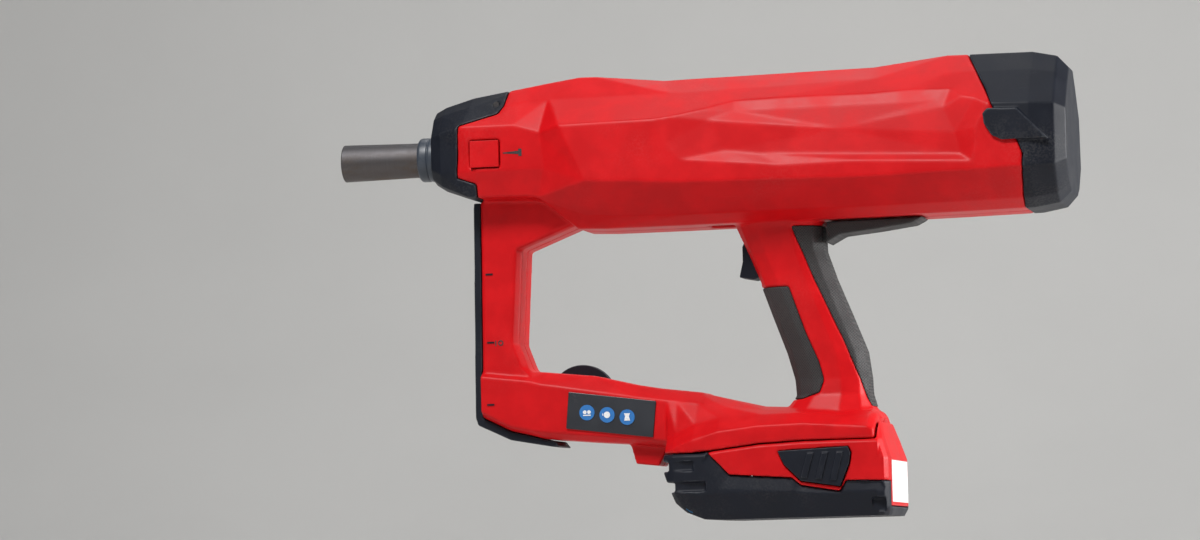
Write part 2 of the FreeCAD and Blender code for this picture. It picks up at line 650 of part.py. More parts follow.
def build_moulded_shells():
    """The barrel housing, column, beam, foot and handle in two halves, and the caps at both ends."""
    wall, seam = size("wall"), size("seam")
    rings = barrel_rings()
    barrel = stacked(rings)
    hollow = [inset_ring(ring, wall) for ring in rings]
    hollow[0] = shifted_ring(hollow[0], wall)
    hollow[-1] = shifted_ring(hollow[-1], -wall)
    barrel_hollow = stacked(hollow).cut(panel_backing())
    column, beam, foot = stacked(column_rings()), stacked(beam_rings()), stacked(foot_rings())
    column_hollow = stacked([inset_level_ring(ring, wall) for ring in column_rings()[1:]])
    beam_hollow = stacked([inset_ring(ring, wall) for ring in beam_rings()[1:]])
    foot_hollow = stacked([inset_ring(ring, wall) for ring in foot_rings()[2:-1]])
    handle = stacked(handle_rings(0))
    handle_core = stacked(handle_rings(size("grip_t")))
    handle_hollow = stacked(handle_rings(size("grip_t") + wall)[1:])
    above_foot = box((0, -1, -151), (FAR, 60, 10))
    handle_hollow = handle_hollow.common(above_foot)

    cap_tool = side_prism(cap_region(0), 0, 60)
    cap_gap = side_prism(cap_region(seam), -1, 60)
    tail_tool = side_prism(tail_region(0), 0, 60)
    tail_gap = side_prism(tail_region(seam), -1, 60)
    front_gap = side_prism(grip_front_region(0.1), -1, 60)
    rear_gap = side_prism(grip_rear_region(0.1), -1, 60)

    grip_shell = handle.cut(handle_core).cut(barrel)
    front = grip_shell.common(side_prism(grip_front_region(0), 0, 60))
    rear = grip_shell.common(side_prism(grip_rear_region(0), 0, 60))
    keep("grip_front", both_sides(front))
    keep("grip_rear", both_sides(rear.cut(foot)))

    barrel_red = barrel.cut(cap_gap).cut(tail_gap).cut(recess_tool())
    handle_red = handle.cut(grip_shell.common(front_gap)).cut(grip_shell.common(rear_gap).cut(foot))
    frame_red = column.fuse([beam, foot, lug_prism()]).cut(cap_gap)
    outer = barrel_red.fuse([frame_red, handle_red])
    inner = barrel_hollow.fuse([column_hollow, beam_hollow, foot_hollow, handle_hollow])
    battery_pocket = box((209, -1, -168), (302, 24.5, -155.5))
    half = outer.cut(inner).fuse(screw_bosses(outer)).cut(battery_pocket).cut(drop_tool()).removeSplitter()
    left = mirrored(half).cut(screw_holes(False))
    edge = 0.4
    low_x, low_z = size("button_x") - edge, size("button_z") - edge
    high_x, high_z = low_x + size("button_len") + 2 * edge, low_z + size("button_h") + 2 * edge
    left = left.cut(box((low_x, -45, low_z), (high_x, -25, high_z)))
    keep("housing_right", largest(half.cut(screw_holes(True))))
    keep("housing_left", largest(left))

    collar_hole = Part.makeCylinder(size("collar_r") + 0.02, 40, vec(30, 0, 0), vec(1, 0, 0))
    cap = barrel.common(cap_tool).cut(barrel_hollow)
    screw_seat = Part.makeCylinder(1.7, 60, vec(CAP_SCREW[0], -30, CAP_SCREW[1]), vec(0, 1, 0))
    keep("nose_cap", largest(both_sides(cap).cut([collar_hole, screw_seat])))
    tail = barrel.common(tail_tool).cut(barrel_hollow)
    tab_outline = [(362, 7), (364.5, 9.5), (380, 9), (396, -7.5), (371.5, -7.5), (366.5, -5), (362.5, 1.5)]
    tab_shape = side_prism(tab_outline, 41.2, 46.2)
    tab_shape = tab_shape.cut(barrel_red)
    keep("rear_cap", largest(both_sides(tail.fuse(tab_shape))))


def largest(shape):
    """The biggest solid of a shape, without boolean crumbs."""
    return max(shape.Solids, key=lambda solid: solid.Volume)


# ---------------------------------------------------------------- battery


def battery_half():
    """The +Y half of the battery pack's outer shape."""
    front, wide, low = size("battery_front_x"), size("foot_w"), size("battery_bottom_z")
    top = size("battery_top_z") - 0.2
    stack = [
        (front, 7, top - 5, -178, -181),
        (front + 2.5, 4, top - 5, -184, -187),
        (front + 6, 2, top - 5, -188, low + 9.5),
        (front + 12, 0.7, top - 5, -189, low + 4.4),
        (front + 22, 0, top - 5, -190, low + 0.4),
        (front + 31, 0, top - 3.6, -190, low),
        (front + 53, 0, top - 1.1, -190, low),
        (front + 78, 0, top, -190, low),
        (front + 117.5, 0, top, -190, low),
    ]
    rings = []
    for x, narrow, high, side_low, bottom in stack:
        w = wide - narrow
        rings.append(half_ring([x] * 4, [w - 1.5, w, w, w - 6], [high, high - 1.5, side_low, bottom]))
    block = stacked(rings)
    wall_x = front + 116.4
    back = size("battery_back_x")
    levels = [
        (low, back - 1.5, wide - 6), (low + 4, back, wide - 1), (-190, back, wide), (-173.5, back, wide),
        (-163, back - 3.4, wide - 2), (-153.8, back - 6, wide - 11),
    ]
    rear = []
    for z, x_back, w in levels:
        corner = max(x_back - 3, wall_x + 0.3)
        shoulder = max(x_back - 0.8, wall_x + 0.6)
        rear.append([vec(wall_x, 0, z), vec(wall_x, w, z), vec(corner, w, z), vec(shoulder, w - 4, z),
                     vec(x_back, w - 9, z), vec(x_back, 0, z)])
    return block.fuse(stacked(rear)), rings


def battery_region(grow):
    """Side view of the battery's black part: the front, the bottom and a low rear corner."""
    g = grow
    return [(160, -160), (207.4 + g, -160), (207.4 + g, -168.5), (218.7 + g, -180.3 + g), (252.8, -182.8 + g),
            (257.6, -187 + g), (278.4, -190.6 + g), (282, -185 + g), (330, -186.5 + g), (330, -230),
            (160, -230)]


def battery_cuts():
    """Finger grooves round the front, the sloping band of the black part and the rear pocket, on +Y."""
    wide, front = size("foot_w"), size("battery_front_x")
    groove = 2.2
    cuts = [box((295.3, wide - 4.5, -202), (303, 60, -194.3))]
    for start, stop, low, high in ((front + 1.8, 199.5, -177.4, -172.3), (front + 5.2, 206, -188.5, -183.3)):
        cuts.append(box((170, wide - groove, low), (stop, 60, high)))
        cuts.append(box((170, -1, low), (start + 1.6, 60, high)))
    border = [(207.4, -168), (218.7, -180.3), (252.8, -182.8), (257.6, -187), (278.4, -190.6), (282, -185),
              (301, -186)]
    crease = [(203.8, -174), (213.2, -187.5), (253, -190.2), (257, -192), (279, -194), (284, -192.8),
              (305, -192)]
    rings = []
    for (x1, z1), (x2, z2) in zip(border, crease):
        rings.append([vec(x1, wide - 1.5, z1), vec(x1, 60, z1), vec(x2, 60, z2), vec(x2, wide + 0.02, z2)])
    return cuts, stacked(rings)


def build_battery():
    """Upper and lower case, cells, terminals, label and the two latches."""
    half, rings = battery_half()
    case_wall = 3.2
    inner_rings = [inset_ring(ring, case_wall) for ring in rings[3:]]
    cavity = stacked(inner_rings[:-1] + [shifted_ring(inner_rings[-1], -6.5)])
    tower = box((222, 0, -165), (296, 23, -156.5))
    slot = box((221, -1, -162.4), (238, 19, -157.2))
    latch_pocket = side_prism(latch_outline(0.5), 34.1, 60)
    wall_plug = side_prism(latch_outline(2), 33, 36)
    body = half.fuse(tower).cut(cavity)
    plug = wall_plug.common(half)
    body = body.fuse(plug).cut(latch_pocket).cut(slot)
    cuts, band = battery_cuts()
    band = band.common(side_prism(battery_region(0), 0, 60))
    whole = both_sides(body.cut(cuts).cut(band))
    radius, pitch = size("cell_r"), 18.5
    cells = []
    for i in range(6):
        place = vec(200.3 + i * pitch, -32.4, -191.4)
        cells.append(Part.makeCylinder(radius, 64.8, place, vec(0, 1, 0)))
        room = Part.makeCylinder(radius + 0.15, 65.4, place - vec(0, 0.3, 0), vec(0, 1, 0))
        whole = whole.cut(room)
    back, rim, seam_gap = size("battery_back_x"), 1.6, 0.3
    label_seat = box((back - 0.5, -28.8, -197.2), (330, 28.8, -174.2))
    label_frame = box((back - rim, -30.5, -199), (330, 30.5, -180))
    frame_gap = box((back - rim - seam_gap, -30.5 - seam_gap, -199 - seam_gap), (330, 30.5 + seam_gap, -180))
    whole = whole.cut(label_seat)
    black = side_prism(battery_region(0), -60, 60).cut(frame_gap)
    black_gap = side_prism(battery_region(seam_gap), -60, 60).cut(label_frame)
    keep("battery_lower_case", largest(whole.common(black)))
    keep("battery_upper_case", largest(whole.cut(black_gap)))
    keep("battery_cells", Part.makeCompound(cells))

    clips = []
    for y in (-15, -6, 6, 15):
        clips.append(box((226, y + 0.8, -162.3), (238, y + 1.6, -157.3)))
    keep("battery_terminals", Part.makeCompound(clips))
    for node, side in (("latch_left", -1), ("latch_right", 1)):
        outside = 40.0
        plate = side_prism(latch_outline(0), outside - size("latch_t"), outside)
        ribs = []
        for i in range(3):
            x, low = 261.8 + i * 7.9, -183 - 0.9 * i
            outline = [(x, -170), (x + 3.4, -170), (x - 0.4, low), (x - 3.8, low)]
            ribs.append(side_prism(outline, outside - 1, outside + 0.9))
        shape = plate.fuse(ribs).common(side_prism(latch_outline(-1.4), 0, 60).fuse(plate)).removeSplitter()
        keep(node, shape if side > 0 else mirrored(shape))


# ---------------------------------------------------------------- primitives


def block(name, spans, corner):
    """A Part::Box with bound sizes; corner is its low corner."""
    item = doc.addObject("Part::Box", name)
    for prop, text in zip(("Length", "Width", "Height"), spans):
        item.setExpression(prop, bound(text))
    for axis, text in zip("xyz", corner):
        item.setExpression("Placement.Base." + axis, bound(text))
    return item


TURNS = {
    "x": FreeCAD.Rotation(vec(0, 1, 0), 90),
    "y": FreeCAD.Rotation(vec(1, 0, 0), -90),
    "z": FreeCAD.Rotation(),
}


def rod(name, radius, length, start, axis="x"):
    """A Part::Cylinder with bound sizes that starts at a point and runs along an axis."""
    item = doc.addObject("Part::Cylinder", name)
    item.setExpression("Radius", bound(radius))
    item.setExpression("Height", bound(length))
    item.Placement = FreeCAD.Placement(vec(0, 0, 0), TURNS[axis])
    for letter, text in zip("xyz", start):
        item.setExpression("Placement.Base." + letter, bound(text))
    return item


def joined(node, items):
    """Fuse several primitives into one sub-part."""
    item = doc.addObject("Part::MultiFuse", node)
    item.Shapes = items
    item.Label = node
    nodes[node] = item
    doc.recompute()
    return item


def grouped(node, items):
    """Keep several separate primitives as one sub-part."""
    item = doc.addObject("Part::Compound", node)
    item.Links = items
    item.Label = node
    nodes[node] = item
    doc.recompute()
    return item


def single(node, item):
    item.Label = node
    nodes[node] = item
    return item


def coil(node, start_x, end_x, z, radius, wire_r, turns):
    """A compression spring along X: a wire swept along a helix."""
    pitch = (end_x - start_x - 2 * wire_r) / turns
    helix = Part.makeHelix(pitch, pitch * turns, radius)
    section = Part.Wire([Part.makeCircle(wire_r, vec(radius, 0, 0), vec(0, 1, 0))])
    spring = Part.Wire(helix).makePipeShell([section], True, True)
    return keep(node, spring, (start_x + wire_r, 0, z), TURNS["x"])


def gear_wheel(teeth, module, bore_r, width, tooth_up):
    """A spur gear about X with straight-flanked teeth, with play for smooth running."""
    pitch_r = teeth * module / 2
    root_r, tip_r = pitch_r - 1.25 * module, pitch_r + 0.85 * module
    points = []
    first = 90 if tooth_up else 90 + 180.0 / teeth
    for i in range(teeth):
        middle = first + i * 360.0 / teeth
        for r, half_width in ((root_r, 0.98), (pitch_r, 0.64), (tip_r, 0.3)):
            points.append((r, middle - degrees_of(half_width * module / r)))
        for r, half_width in ((tip_r, 0.3), (pitch_r, 0.64), (root_r, 0.98)):
            points.append((r, middle + degrees_of(half_width * module / r)))
    corners = [polar(r, angle) for r, angle in points]
    face = Part.Face(Part.makePolygon(corners + corners[:1]))
    wheel = face.extrude(vec(width, 0, 0))
    return wheel.cut(Part.makeCylinder(bore_r, width + 2, vec(-1, 0, 0), vec(1, 0, 0)))


def degrees_of(radians):
    return radians * 180 / 3.141592653589793


def polar(radius, degrees):
    """A point in the YZ plane; 90 degrees is up."""
    turn = FreeCAD.Rotation(vec(1, 0, 0), degrees)
    return turn.multVec(vec(0, radius, 0))


# ---------------------------------------------------------------- nose


def build_nose():
    """Barrel, collar, nose spring, wear strip, button and the small cap screws."""
    revolved("nose_barrel", [
        ("0", "bore_r"), ("0", "muzzle_r - 0.8"), ("0.8", "muzzle_r"), ("3", "muzzle_r"),
        ("collar_front_x - 6", "barrel_r"), ("stop_flange_x", "barrel_r"), ("stop_flange_x", "stop_flange_r"),
        ("stop_flange_x + 3", "stop_flange_r"), ("stop_flange_x + 3", "barrel_r"),
        ("barrel_back_x", "barrel_r"), ("barrel_back_x", "guide_r"), ("bore_length + 4", "guide_r"),
        ("bore_length", "bore_r"),
    ])
    revolved("nose_collar", [
        ("collar_front_x", "barrel_r + run_gap"), ("collar_front_x", "collar_r - 1.6"),
        ("collar_front_x + 1.6", "collar_r"), ("stop_flange_x - 10", "collar_r"),
        ("stop_flange_x - 10", "barrel_r + run_gap"),
    ])
    coil("nose_spring", size("stop_flange_x") + 3.2, size("tube_front_x") - 2.2, 0, 11.6, 0.7, 4)
    front = "column_front_x"
    padded("wear_strip", [
        (front + " - 3.2", "-26.5"), (front + " + 0.6", "-26.5"), (front + " - 0.5", "-118"),
        (front + " - 0.9", "-119"), (front + " - 0.9", "-144.6"), (front + " + 15", "-152.5"),
        (front + " + 26", "-155.2"), (front + " + 34", "-157.5"), (front + " + 39", "-158"),
        (front + " + 42", "-161.6"), (front + " + 37", "-161.2"), (front + " + 14.5", "-157"),
        (front + " - 3.6", "-148.4"), (front + " - 5", "-144"),
    ], "2 * column_w - 3")
    lip = 1.4
    joined("release_button", [
        block("button_face", ("button_len", "button_t", "button_h"), ("button_x", "-36.9", "button_z")),
        block("button_lip", ("button_len + %s" % (2 * lip), "1.4", "button_h + %s" % (2 * lip)),
              ("button_x - %s" % lip, "-31.5", "button_z - %s" % lip)),
    ])
    screws = []
    for side in (-1, 1):
        start = "-25.2" if side < 0 else "21.2"
        place = (str(CAP_SCREW[0]), start, str(CAP_SCREW[1]))
        screws.append(rod("cap_screw_%d" % (side + 2), "1.6", "4", place, "y"))
    grouped("cap_screws", screws)


# ---------------------------------------------------------------- drive


def build_drive():
    """Driver, guide tube, springs, spindle, gears, motor and their plates."""
    revolved("guide_tube", [
        ("tube_front_x", "piston_r + run_gap"), ("tube_front_x", "tube_r"),
        ("tube_back_x", "tube_r"), ("tube_back_x", "piston_r + run_gap"),
    ])
    revolved("nose_seat", [
        ("tube_front_x - 2", "guide_r + 6"), ("tube_front_x - 2", "tube_r + 3"),
        ("tube_front_x", "tube_r + 3"), ("tube_front_x", "guide_r + 6"),
    ])
    revolved("buffer_ring", [
        ("tube_front_x + 0.2", "rod_r + 0.6"), ("tube_front_x + 0.2", "piston_r - 0.2"),
        ("tube_front_x + 14", "piston_r - 0.2"), ("tube_front_x + 14", "rod_r + 0.6"),
    ])
    revolved("driver", [
        ("rod_front_x", "0"), ("rod_front_x", "rod_r - 0.6"), ("rod_front_x + 0.6", "rod_r"),
        ("piston_x", "rod_r"), ("piston_x", "piston_r"), ("piston_x + piston_len", "piston_r"),
        ("piston_x + piston_len", "sleeve_r"), ("nut_x", "sleeve_r"), ("nut_x", "nut_r"),
        ("nut_x + nut_len", "nut_r"), ("nut_x + nut_len", "spindle_r + run_gap"),
        ("nut_x", "spindle_r + run_gap"), ("nut_x", "sleeve_bore_r"),
        ("piston_x + piston_len + 4", "sleeve_bore_r"), ("piston_x + piston_len + 4", "0"),
    ])
    coil("drive_spring", size("nut_x") + size("nut_len") + 0.2, size("seat_x") - 0.2, 0,
         size("spring_r"), size("spring_wire_r"), 5)
    revolved("spring_seat", [
        ("seat_x", "spindle_r + 2"), ("seat_x", "nut_r"), ("plate_x", "nut_r"), ("plate_x", "spindle_r + 2"),
    ])
    revolved("spindle_bearing", [
        ("plate_x", "spindle_r + run_gap"), ("plate_x", "11"), ("plate_x + plate_t", "11"),
        ("plate_x + plate_t", "spindle_r + run_gap"),
    ])
    plate = padded("gearbox_plate", [
        ("-33", "-22"), ("-33", "10"), ("-20", "25"), ("20", "25"), ("33", "10"), ("33", "-22"),
        ("20", "-38"), ("-20", "-38"),
    ], "plate_t", ("plate_x + 0.5 * plate_t", "0", "0"), "YZ_Plane")
    pocket_circles(plate, "bearing_seat", "YZ_Plane", [("0", "0", "11.02")])
    plate = padded("motor_plate", [
        ("-26", "-36"), ("-30", "2"), ("-18", "20"), ("18", "20"), ("30", "2"), ("26", "-36"),
    ], "3", ("motor_x - 2", "0", "0"), "YZ_Plane")
    pocket_circles(plate, "shaft_hole", "YZ_Plane", [("0", "-motor_drop", "shaft_r + 0.6")])
    revolved("spindle", [
        ("spindle_front_x", "0"), ("spindle_front_x", "spindle_r - 1"), ("spindle_front_x + 1", "spindle_r"),
        ("spindle_back_x", "spindle_r"), ("spindle_back_x", "0"),
    ])
    module, width = size("gear_module"), size("gear_t")
    wheel = gear_wheel(int(size("gear_teeth")), module, size("spindle_r"), width, False)
    keep("spindle_gear", wheel, (size("gear_x"), 0, 0))
    pinion = gear_wheel(int(size("pinion_teeth")), module, size("shaft_r"), width, True)
    keep("motor_pinion", pinion, (size("gear_x"), 0, -size("motor_drop")))
    drop = "-motor_drop"
    length = "motor_x + motor_len - gear_x + 2"
    single("rotor_shaft", rod("rotor_shaft", "shaft_r", length, ("gear_x", "0", drop)))
    revolved("rotor_core", [
        ("motor_x + 8", "shaft_r"), ("motor_x + 8", "motor_r - 4"),
        ("motor_x + motor_len - 10", "motor_r - 4"), ("motor_x + motor_len - 10", "shaft_r"),
    ], ("0", "0", drop))
    revolved("motor_can", [
        ("motor_x", "shaft_r + 0.1"), ("motor_x", "motor_r"), ("motor_x + motor_len", "motor_r"),
        ("motor_x + motor_len", "shaft_r + 0.1"), ("motor_x + motor_len - 3", "shaft_r + 0.1"),
        ("motor_x + motor_len - 3", "motor_r - 3.2"), ("motor_x + 3", "motor_r - 3.2"),
        ("motor_x + 3", "shaft_r + 0.1"),
    ], ("0", "0", drop))


# ---------------------------------------------------------------- controls and electrics


def build_controls():
    """Trigger with its pin, spring and switch, boards, contacts, hook and small trim."""
    pin_x, pin_z = "trigger_pin_x", "trigger_pin_z"
    outline = [("- 5", "+ 4.5"), ("+ 4", "+ 4.5"), ("+ 4.5", "- 3"), ("- 2", "- 14"), ("- 3.5", "- 24"),
               ("- 11", "- 27"), ("- 19", "- 25.5"), ("- 17", "- 17"), ("- 17", "- 9"), ("- 13", "- 1")]
    outline = [(pin_x + " " + across, pin_z + " " + up) for across, up in outline]
    trigger = padded("trigger", outline, "2 * trigger_w")
    pocket_circles(trigger, "trigger_hole", "XZ_Plane", [(pin_x, pin_z, "trigger_pin_r + run_gap")])
    single("trigger_pin", rod("trigger_pin", "trigger_pin_r", "25", (pin_x, "-12.5", pin_z), "y"))
    coil("trigger_spring", 238.8, 251.2, -66, 2.6, 0.4, 5)
    single("trigger_switch", block("trigger_switch", ("9.5", "14", "16"), ("251.5", "-7", "-78")))
    single("circuit_board", block("circuit_board", ("66", "26", "1.6"), ("110", "-13", "-143")))
    chips = []
    for i, (x, y, span_x, span_y, high) in enumerate([
            (114, -9, 10, 8, 5), (128, 1, 12, 9, 3), (144, -10, 9, 9, 5), (158, -2, 8, 10, 4)]):
        corner = (str(x), str(y), "-141.4")
        chips.append(block("chip_%d" % i, (str(span_x), str(span_y), str(high)), corner))
    grouped("board_parts", chips)
    single("contact_block", block("contact_block", ("9", "44", "8.4"), ("210.5", "-22", "-164.6")))
    blades = []
    for i, y in enumerate((-15, -6, 6, 15)):
        blades.append(block("blade_%d" % i, ("14", "0.8", "4"), ("219.5", str(y - 0.4), "-161.8")))
    grouped("contact_blades", blades)

    claw = Part.makeCylinder(size("hook_out_r"), size("hook_w"), vec(0, 0, 0), vec(0, 1, 0))
    claw = claw.cut(Part.makeCylinder(size("hook_in_r"), size("hook_w"), vec(0, 0, 0), vec(0, 1, 0)))
    mouth = side_prism([(-2, -1), (40, -14), (40, -40), (-2, -40)], -1, size("hook_w") + 1)
    across = size("hook_pin_x") - size("hook_eye_x")
    down = size("hook_pin_z") - size("hook_eye_z")
    arm_outline = [(13, -2), (13, 9), (across - 4, down + 7), (across, down - 6), (24, -9)]
    arm = side_prism(arm_outline, 0, size("hook_w"))
    arm = arm.cut(Part.makeCylinder(14, 10, vec(0, 0, 0), vec(0, 1, 0)))
    boss = Part.makeCylinder(8, size("hook_w"), vec(across, 0, down), vec(0, 1, 0))
    hole = Part.makeCylinder(3.06, size("hook_w"), vec(across, 0, down), vec(0, 1, 0))
    hook = claw.cut(mouth).fuse([arm, boss]).cut(hole)
    keep("utility_hook", largest(hook.removeSplitter()), (size("hook_eye_x"), 20.6, size("hook_eye_z")))
    joined("hook_pin", [
        rod("hook_pin_shank", "3", "hook_w + 0.9", ("hook_pin_x", "20", "hook_pin_z"), "y"),
        rod("hook_pin_head", "5.4", "1.8", ("hook_pin_x", "20.9 + hook_w", "hook_pin_z"), "y"),
    ])


def build_trim():
    """Label plate with its discs, scale marks, tang pad, battery label and housing screws."""
    padded("label_plate", [
        ("128.2", "-132"), ("176.6", "-138.6"), ("174.5", "-158.2"), ("126.4", "-151.9"),
    ], "0.9", ("0", "-beam_w - 0.45", "0"))
    discs = []
    for i in range(3):
        x, z = 138.3 + 11.1 * i, -143.6 - 1.6 * i
        discs.append(rod("disc_%d" % i, "4.2", "0.4", (str(x), "-beam_w - 1.3", str(z)), "y"))
    grouped("info_discs", discs)
    marks = []
    for i, (z, half) in enumerate(((-66.4, "column_w"), (-103.8, "column_w"), (-138, "beam_w"))):
        for side in (-1, 1):
            start = "-%s - 0.35" % half if side < 0 else half
            corner = ("column_front_x + 3", start, str(z))
            marks.append(block("mark_%d_%d" % (i, side + 1), ("4", "0.35", "0.9"), corner))
    grouped("scale_marks", marks)
    padded("tang_pad", [
        ("271.5", "-44.6"), ("324", "-44"), ("318", "-47"), ("300", "-49.4"), ("279", "-51.5"),
        ("270.6", "-56"),
    ], "26")
    screws = []
    for i, (x, z, face) in enumerate(SCREWS):
        tip, seat = -11.5, face - 2.6
        shank_place, head_place = (str(x), str(tip), str(z)), (str(x), str(seat), str(z))
        screws.append(rod("screw_shank_%d" % i, "screw_r", str(seat - tip), shank_place, "y"))
        screws.append(rod("screw_head_%d" % i, "screw_head_r", "2.4", head_place, "y"))
    joined("housing_screws", screws)
    place = ("battery_back_x - 0.5", "-28.5", "-196.9")
    single("battery_label", block("battery_label", ("0.6", "57", "22.4"), place))


def write_parts():
    """Check every object and every sub-part, then write one STEP file for each sub-part."""
    doc.recompute()
    for item in doc.Objects:
        if "Invalid" in item.State or "Error" in item.State:
            raise RuntimeError(item.Name + " did not recompute")
    os.makedirs("parts", exist_ok=True)
    for node, item in nodes.items():
        shape = item.Shape
        if shape.isNull() or not shape.isValid():
            raise RuntimeError(node + " has no valid shape")
        shape.exportStep("parts/" + node + ".step")


fill_sheet()
build_moulded_shells()
build_battery()
build_nose()
build_drive()
build_controls()
build_trim()
write_parts()
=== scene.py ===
import json
import math

import bmesh
import bpy
import numpy as np
from bpy.props import FloatProperty, FloatVectorProperty, IntProperty, PointerProperty
from mathutils import Matrix, Vector


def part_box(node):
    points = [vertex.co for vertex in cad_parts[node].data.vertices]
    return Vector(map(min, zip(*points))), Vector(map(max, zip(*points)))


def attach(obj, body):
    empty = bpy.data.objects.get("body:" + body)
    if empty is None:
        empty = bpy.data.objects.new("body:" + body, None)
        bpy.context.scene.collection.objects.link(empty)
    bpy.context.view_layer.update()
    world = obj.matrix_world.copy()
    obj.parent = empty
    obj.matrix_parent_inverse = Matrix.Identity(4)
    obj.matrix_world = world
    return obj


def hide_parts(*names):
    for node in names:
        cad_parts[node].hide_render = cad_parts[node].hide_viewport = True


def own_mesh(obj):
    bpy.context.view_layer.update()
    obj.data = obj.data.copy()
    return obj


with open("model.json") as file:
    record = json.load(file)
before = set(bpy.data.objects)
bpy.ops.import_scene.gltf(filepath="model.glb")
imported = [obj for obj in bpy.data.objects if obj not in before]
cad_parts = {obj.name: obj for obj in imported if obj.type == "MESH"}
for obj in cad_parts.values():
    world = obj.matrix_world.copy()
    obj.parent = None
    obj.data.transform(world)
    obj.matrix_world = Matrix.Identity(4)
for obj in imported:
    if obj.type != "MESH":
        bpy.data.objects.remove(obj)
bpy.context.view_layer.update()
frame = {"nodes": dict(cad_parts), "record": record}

bl_info = {
    "name": "Battery nail gun",
    "version": (1, 0, 0),
    "blender": (4, 5, 0),
    "location": "View3D > Sidebar > Nail gun",
    "description": "Builds the shells, barrel, grips and markings of a battery nail gun round its CAD frame",
    "category": "Object",
}

NODES = frame["nodes"]
MM = 0.001
LEFT, RIGHT = -1, 1


# ---------------------------------------------------------------- settings


class NailGunShells(bpy.types.PropertyGroup):
    """Sizes of the moulded parts' finish."""

    housing_voxel: FloatProperty(name="Housing grain size",
                                 description="Grid size used to round the housing's edges",
                                 default=0.85 * MM, unit="LENGTH")
    case_voxel: FloatProperty(name="Case grain size",
                              description="Grid size used to round caps and battery cases",
                              default=0.62 * MM, unit="LENGTH")
    small_voxel: FloatProperty(name="Small part grain size",
                               description="Grid size used to round buttons and latches",
                               default=0.3 * MM, unit="LENGTH")
    rounding: IntProperty(name="Rounding passes", description="How often edges are relaxed",
                          default=4, min=0, max=40)
    draft_factor: FloatProperty(name="Draft factor", description="How much coarser a quick look is",
                                default=1.9)


class NailGunNose(bpy.types.PropertyGroup):
    """Sizes of the barrel's and the collar's turned shapes, and the trigger's stroke."""

    barrel_steps: IntProperty(name="Barrel steps", description="Faces round the turned parts",
                              default=144, min=24)
    rim_radius: FloatProperty(name="Rim radius", description="Rounding of the muzzle's rim",
                              default=0.7 * MM, unit="LENGTH")
    tube_radius: FloatProperty(name="Tube radius", description="Radius of the muzzle tube",
                               default=9.6 * MM, unit="LENGTH")
    muzzle_radius: FloatProperty(name="Muzzle radius", description="Radius of the tube's thick end",
                                 default=10.3 * MM, unit="LENGTH")
    bore_radius: FloatProperty(name="Bore radius", description="Radius of the hole that takes the nail",
                               default=6 * MM, unit="LENGTH")
    bore_depth: FloatProperty(name="Bore depth", description="Length of the wide part of the bore",
                              default=40 * MM, unit="LENGTH")
    guide_radius: FloatProperty(name="Guide radius", description="Radius of the hole that guides the rod",
                                default=3.6 * MM, unit="LENGTH")
    flange_place: FloatProperty(name="Flange place", description="Where the stop flange starts along X",
                                default=74 * MM, unit="LENGTH")
    trigger_stroke: FloatProperty(name="Trigger stroke", description="How far the trigger pushes its spring",
                                  default=4 * MM, unit="LENGTH")
    boss_radius: FloatProperty(name="Boss radius", description="Radius of the raised ring behind the collar",
                               default=15.6 * MM, unit="LENGTH")


class NailGunMarks(bpy.types.PropertyGroup):
    """Sizes of the printed and raised marks."""

    print_height: FloatProperty(name="Print height", description="How far a printed mark stands proud",
                                default=0.18 * MM, unit="LENGTH")
    sign_radius: FloatProperty(name="Sign radius", description="Radius of a blue disc",
                               default=4.2 * MM, unit="LENGTH")
    nail_length: FloatProperty(name="Nail length", description="Length of the printed nail",
                               default=10.5 * MM, unit="LENGTH")
    digit_height: FloatProperty(name="Digit height", description="Height of the depth scale's digits",
                                default=3 * MM, unit="LENGTH")
    panel_width: FloatProperty(name="Panel width",
                               description="From the middle to the flat beside the button",
                               default=36 * MM, unit="LENGTH")
    column_width: FloatProperty(name="Column width", description="From the middle to the column's side",
                                default=16.5 * MM, unit="LENGTH")


class NailGunColours(bpy.types.PropertyGroup):
    """Colours of the finishes."""

    red: FloatVectorProperty(name="Red plastic", description="Moulded shell colour", subtype="COLOR",
                             default=(0.60, 0.004, 0.007))
    red_worn: FloatVectorProperty(name="Worn red", description="Shell colour where edges are rubbed",
                                  subtype="COLOR", default=(0.68, 0.045, 0.035))
    black: FloatVectorProperty(name="Black plastic", description="Cap and case colour", subtype="COLOR",
                               default=(0.008, 0.010, 0.017))
    black_worn: FloatVectorProperty(name="Worn black", description="Cap colour where edges are rubbed",
                                    subtype="COLOR", default=(0.055, 0.06, 0.07))
    rubber: FloatVectorProperty(name="Rubber", description="Grip colour", subtype="COLOR",
                                default=(0.012, 0.012, 0.014))
    steel: FloatVectorProperty(name="Barrel steel", description="Colour of the muzzle tube", subtype="COLOR",
                               default=(0.09, 0.088, 0.094))
    dust: FloatVectorProperty(name="Site dust", description="Colour of concrete dust", subtype="COLOR",
                              default=(0.52, 0.49, 0.45))
    floor: FloatVectorProperty(name="Floor", description="Colour of the floor and backdrop", subtype="COLOR",
                               default=(0.64, 0.635, 0.62))


class NailGunView(bpy.types.PropertyGroup):
    """The camera's place round the tool."""

    turn: FloatProperty(name="Turn", description="Angle towards the tool's rear",
                        default=math.radians(12), subtype="ANGLE")
    rise: FloatProperty(name="Rise", description="Angle above the horizon",
                        default=math.radians(-4), subtype="ANGLE")
    roll: FloatProperty(name="Roll", description="Tilt of the camera about its own axis",
                        default=math.radians(1.5), subtype="ANGLE")
    distance: FloatProperty(name="Distance", description="From the camera to the point it looks at",
                            default=2.459, unit="LENGTH")
    aim: FloatVectorProperty(name="Aim", description="Point that the camera looks at",
                             default=(0.1452, -0.0098, -0.0655), subtype="TRANSLATION")
    lens: FloatProperty(name="Lens", description="Focal length in millimetres", default=135.0)


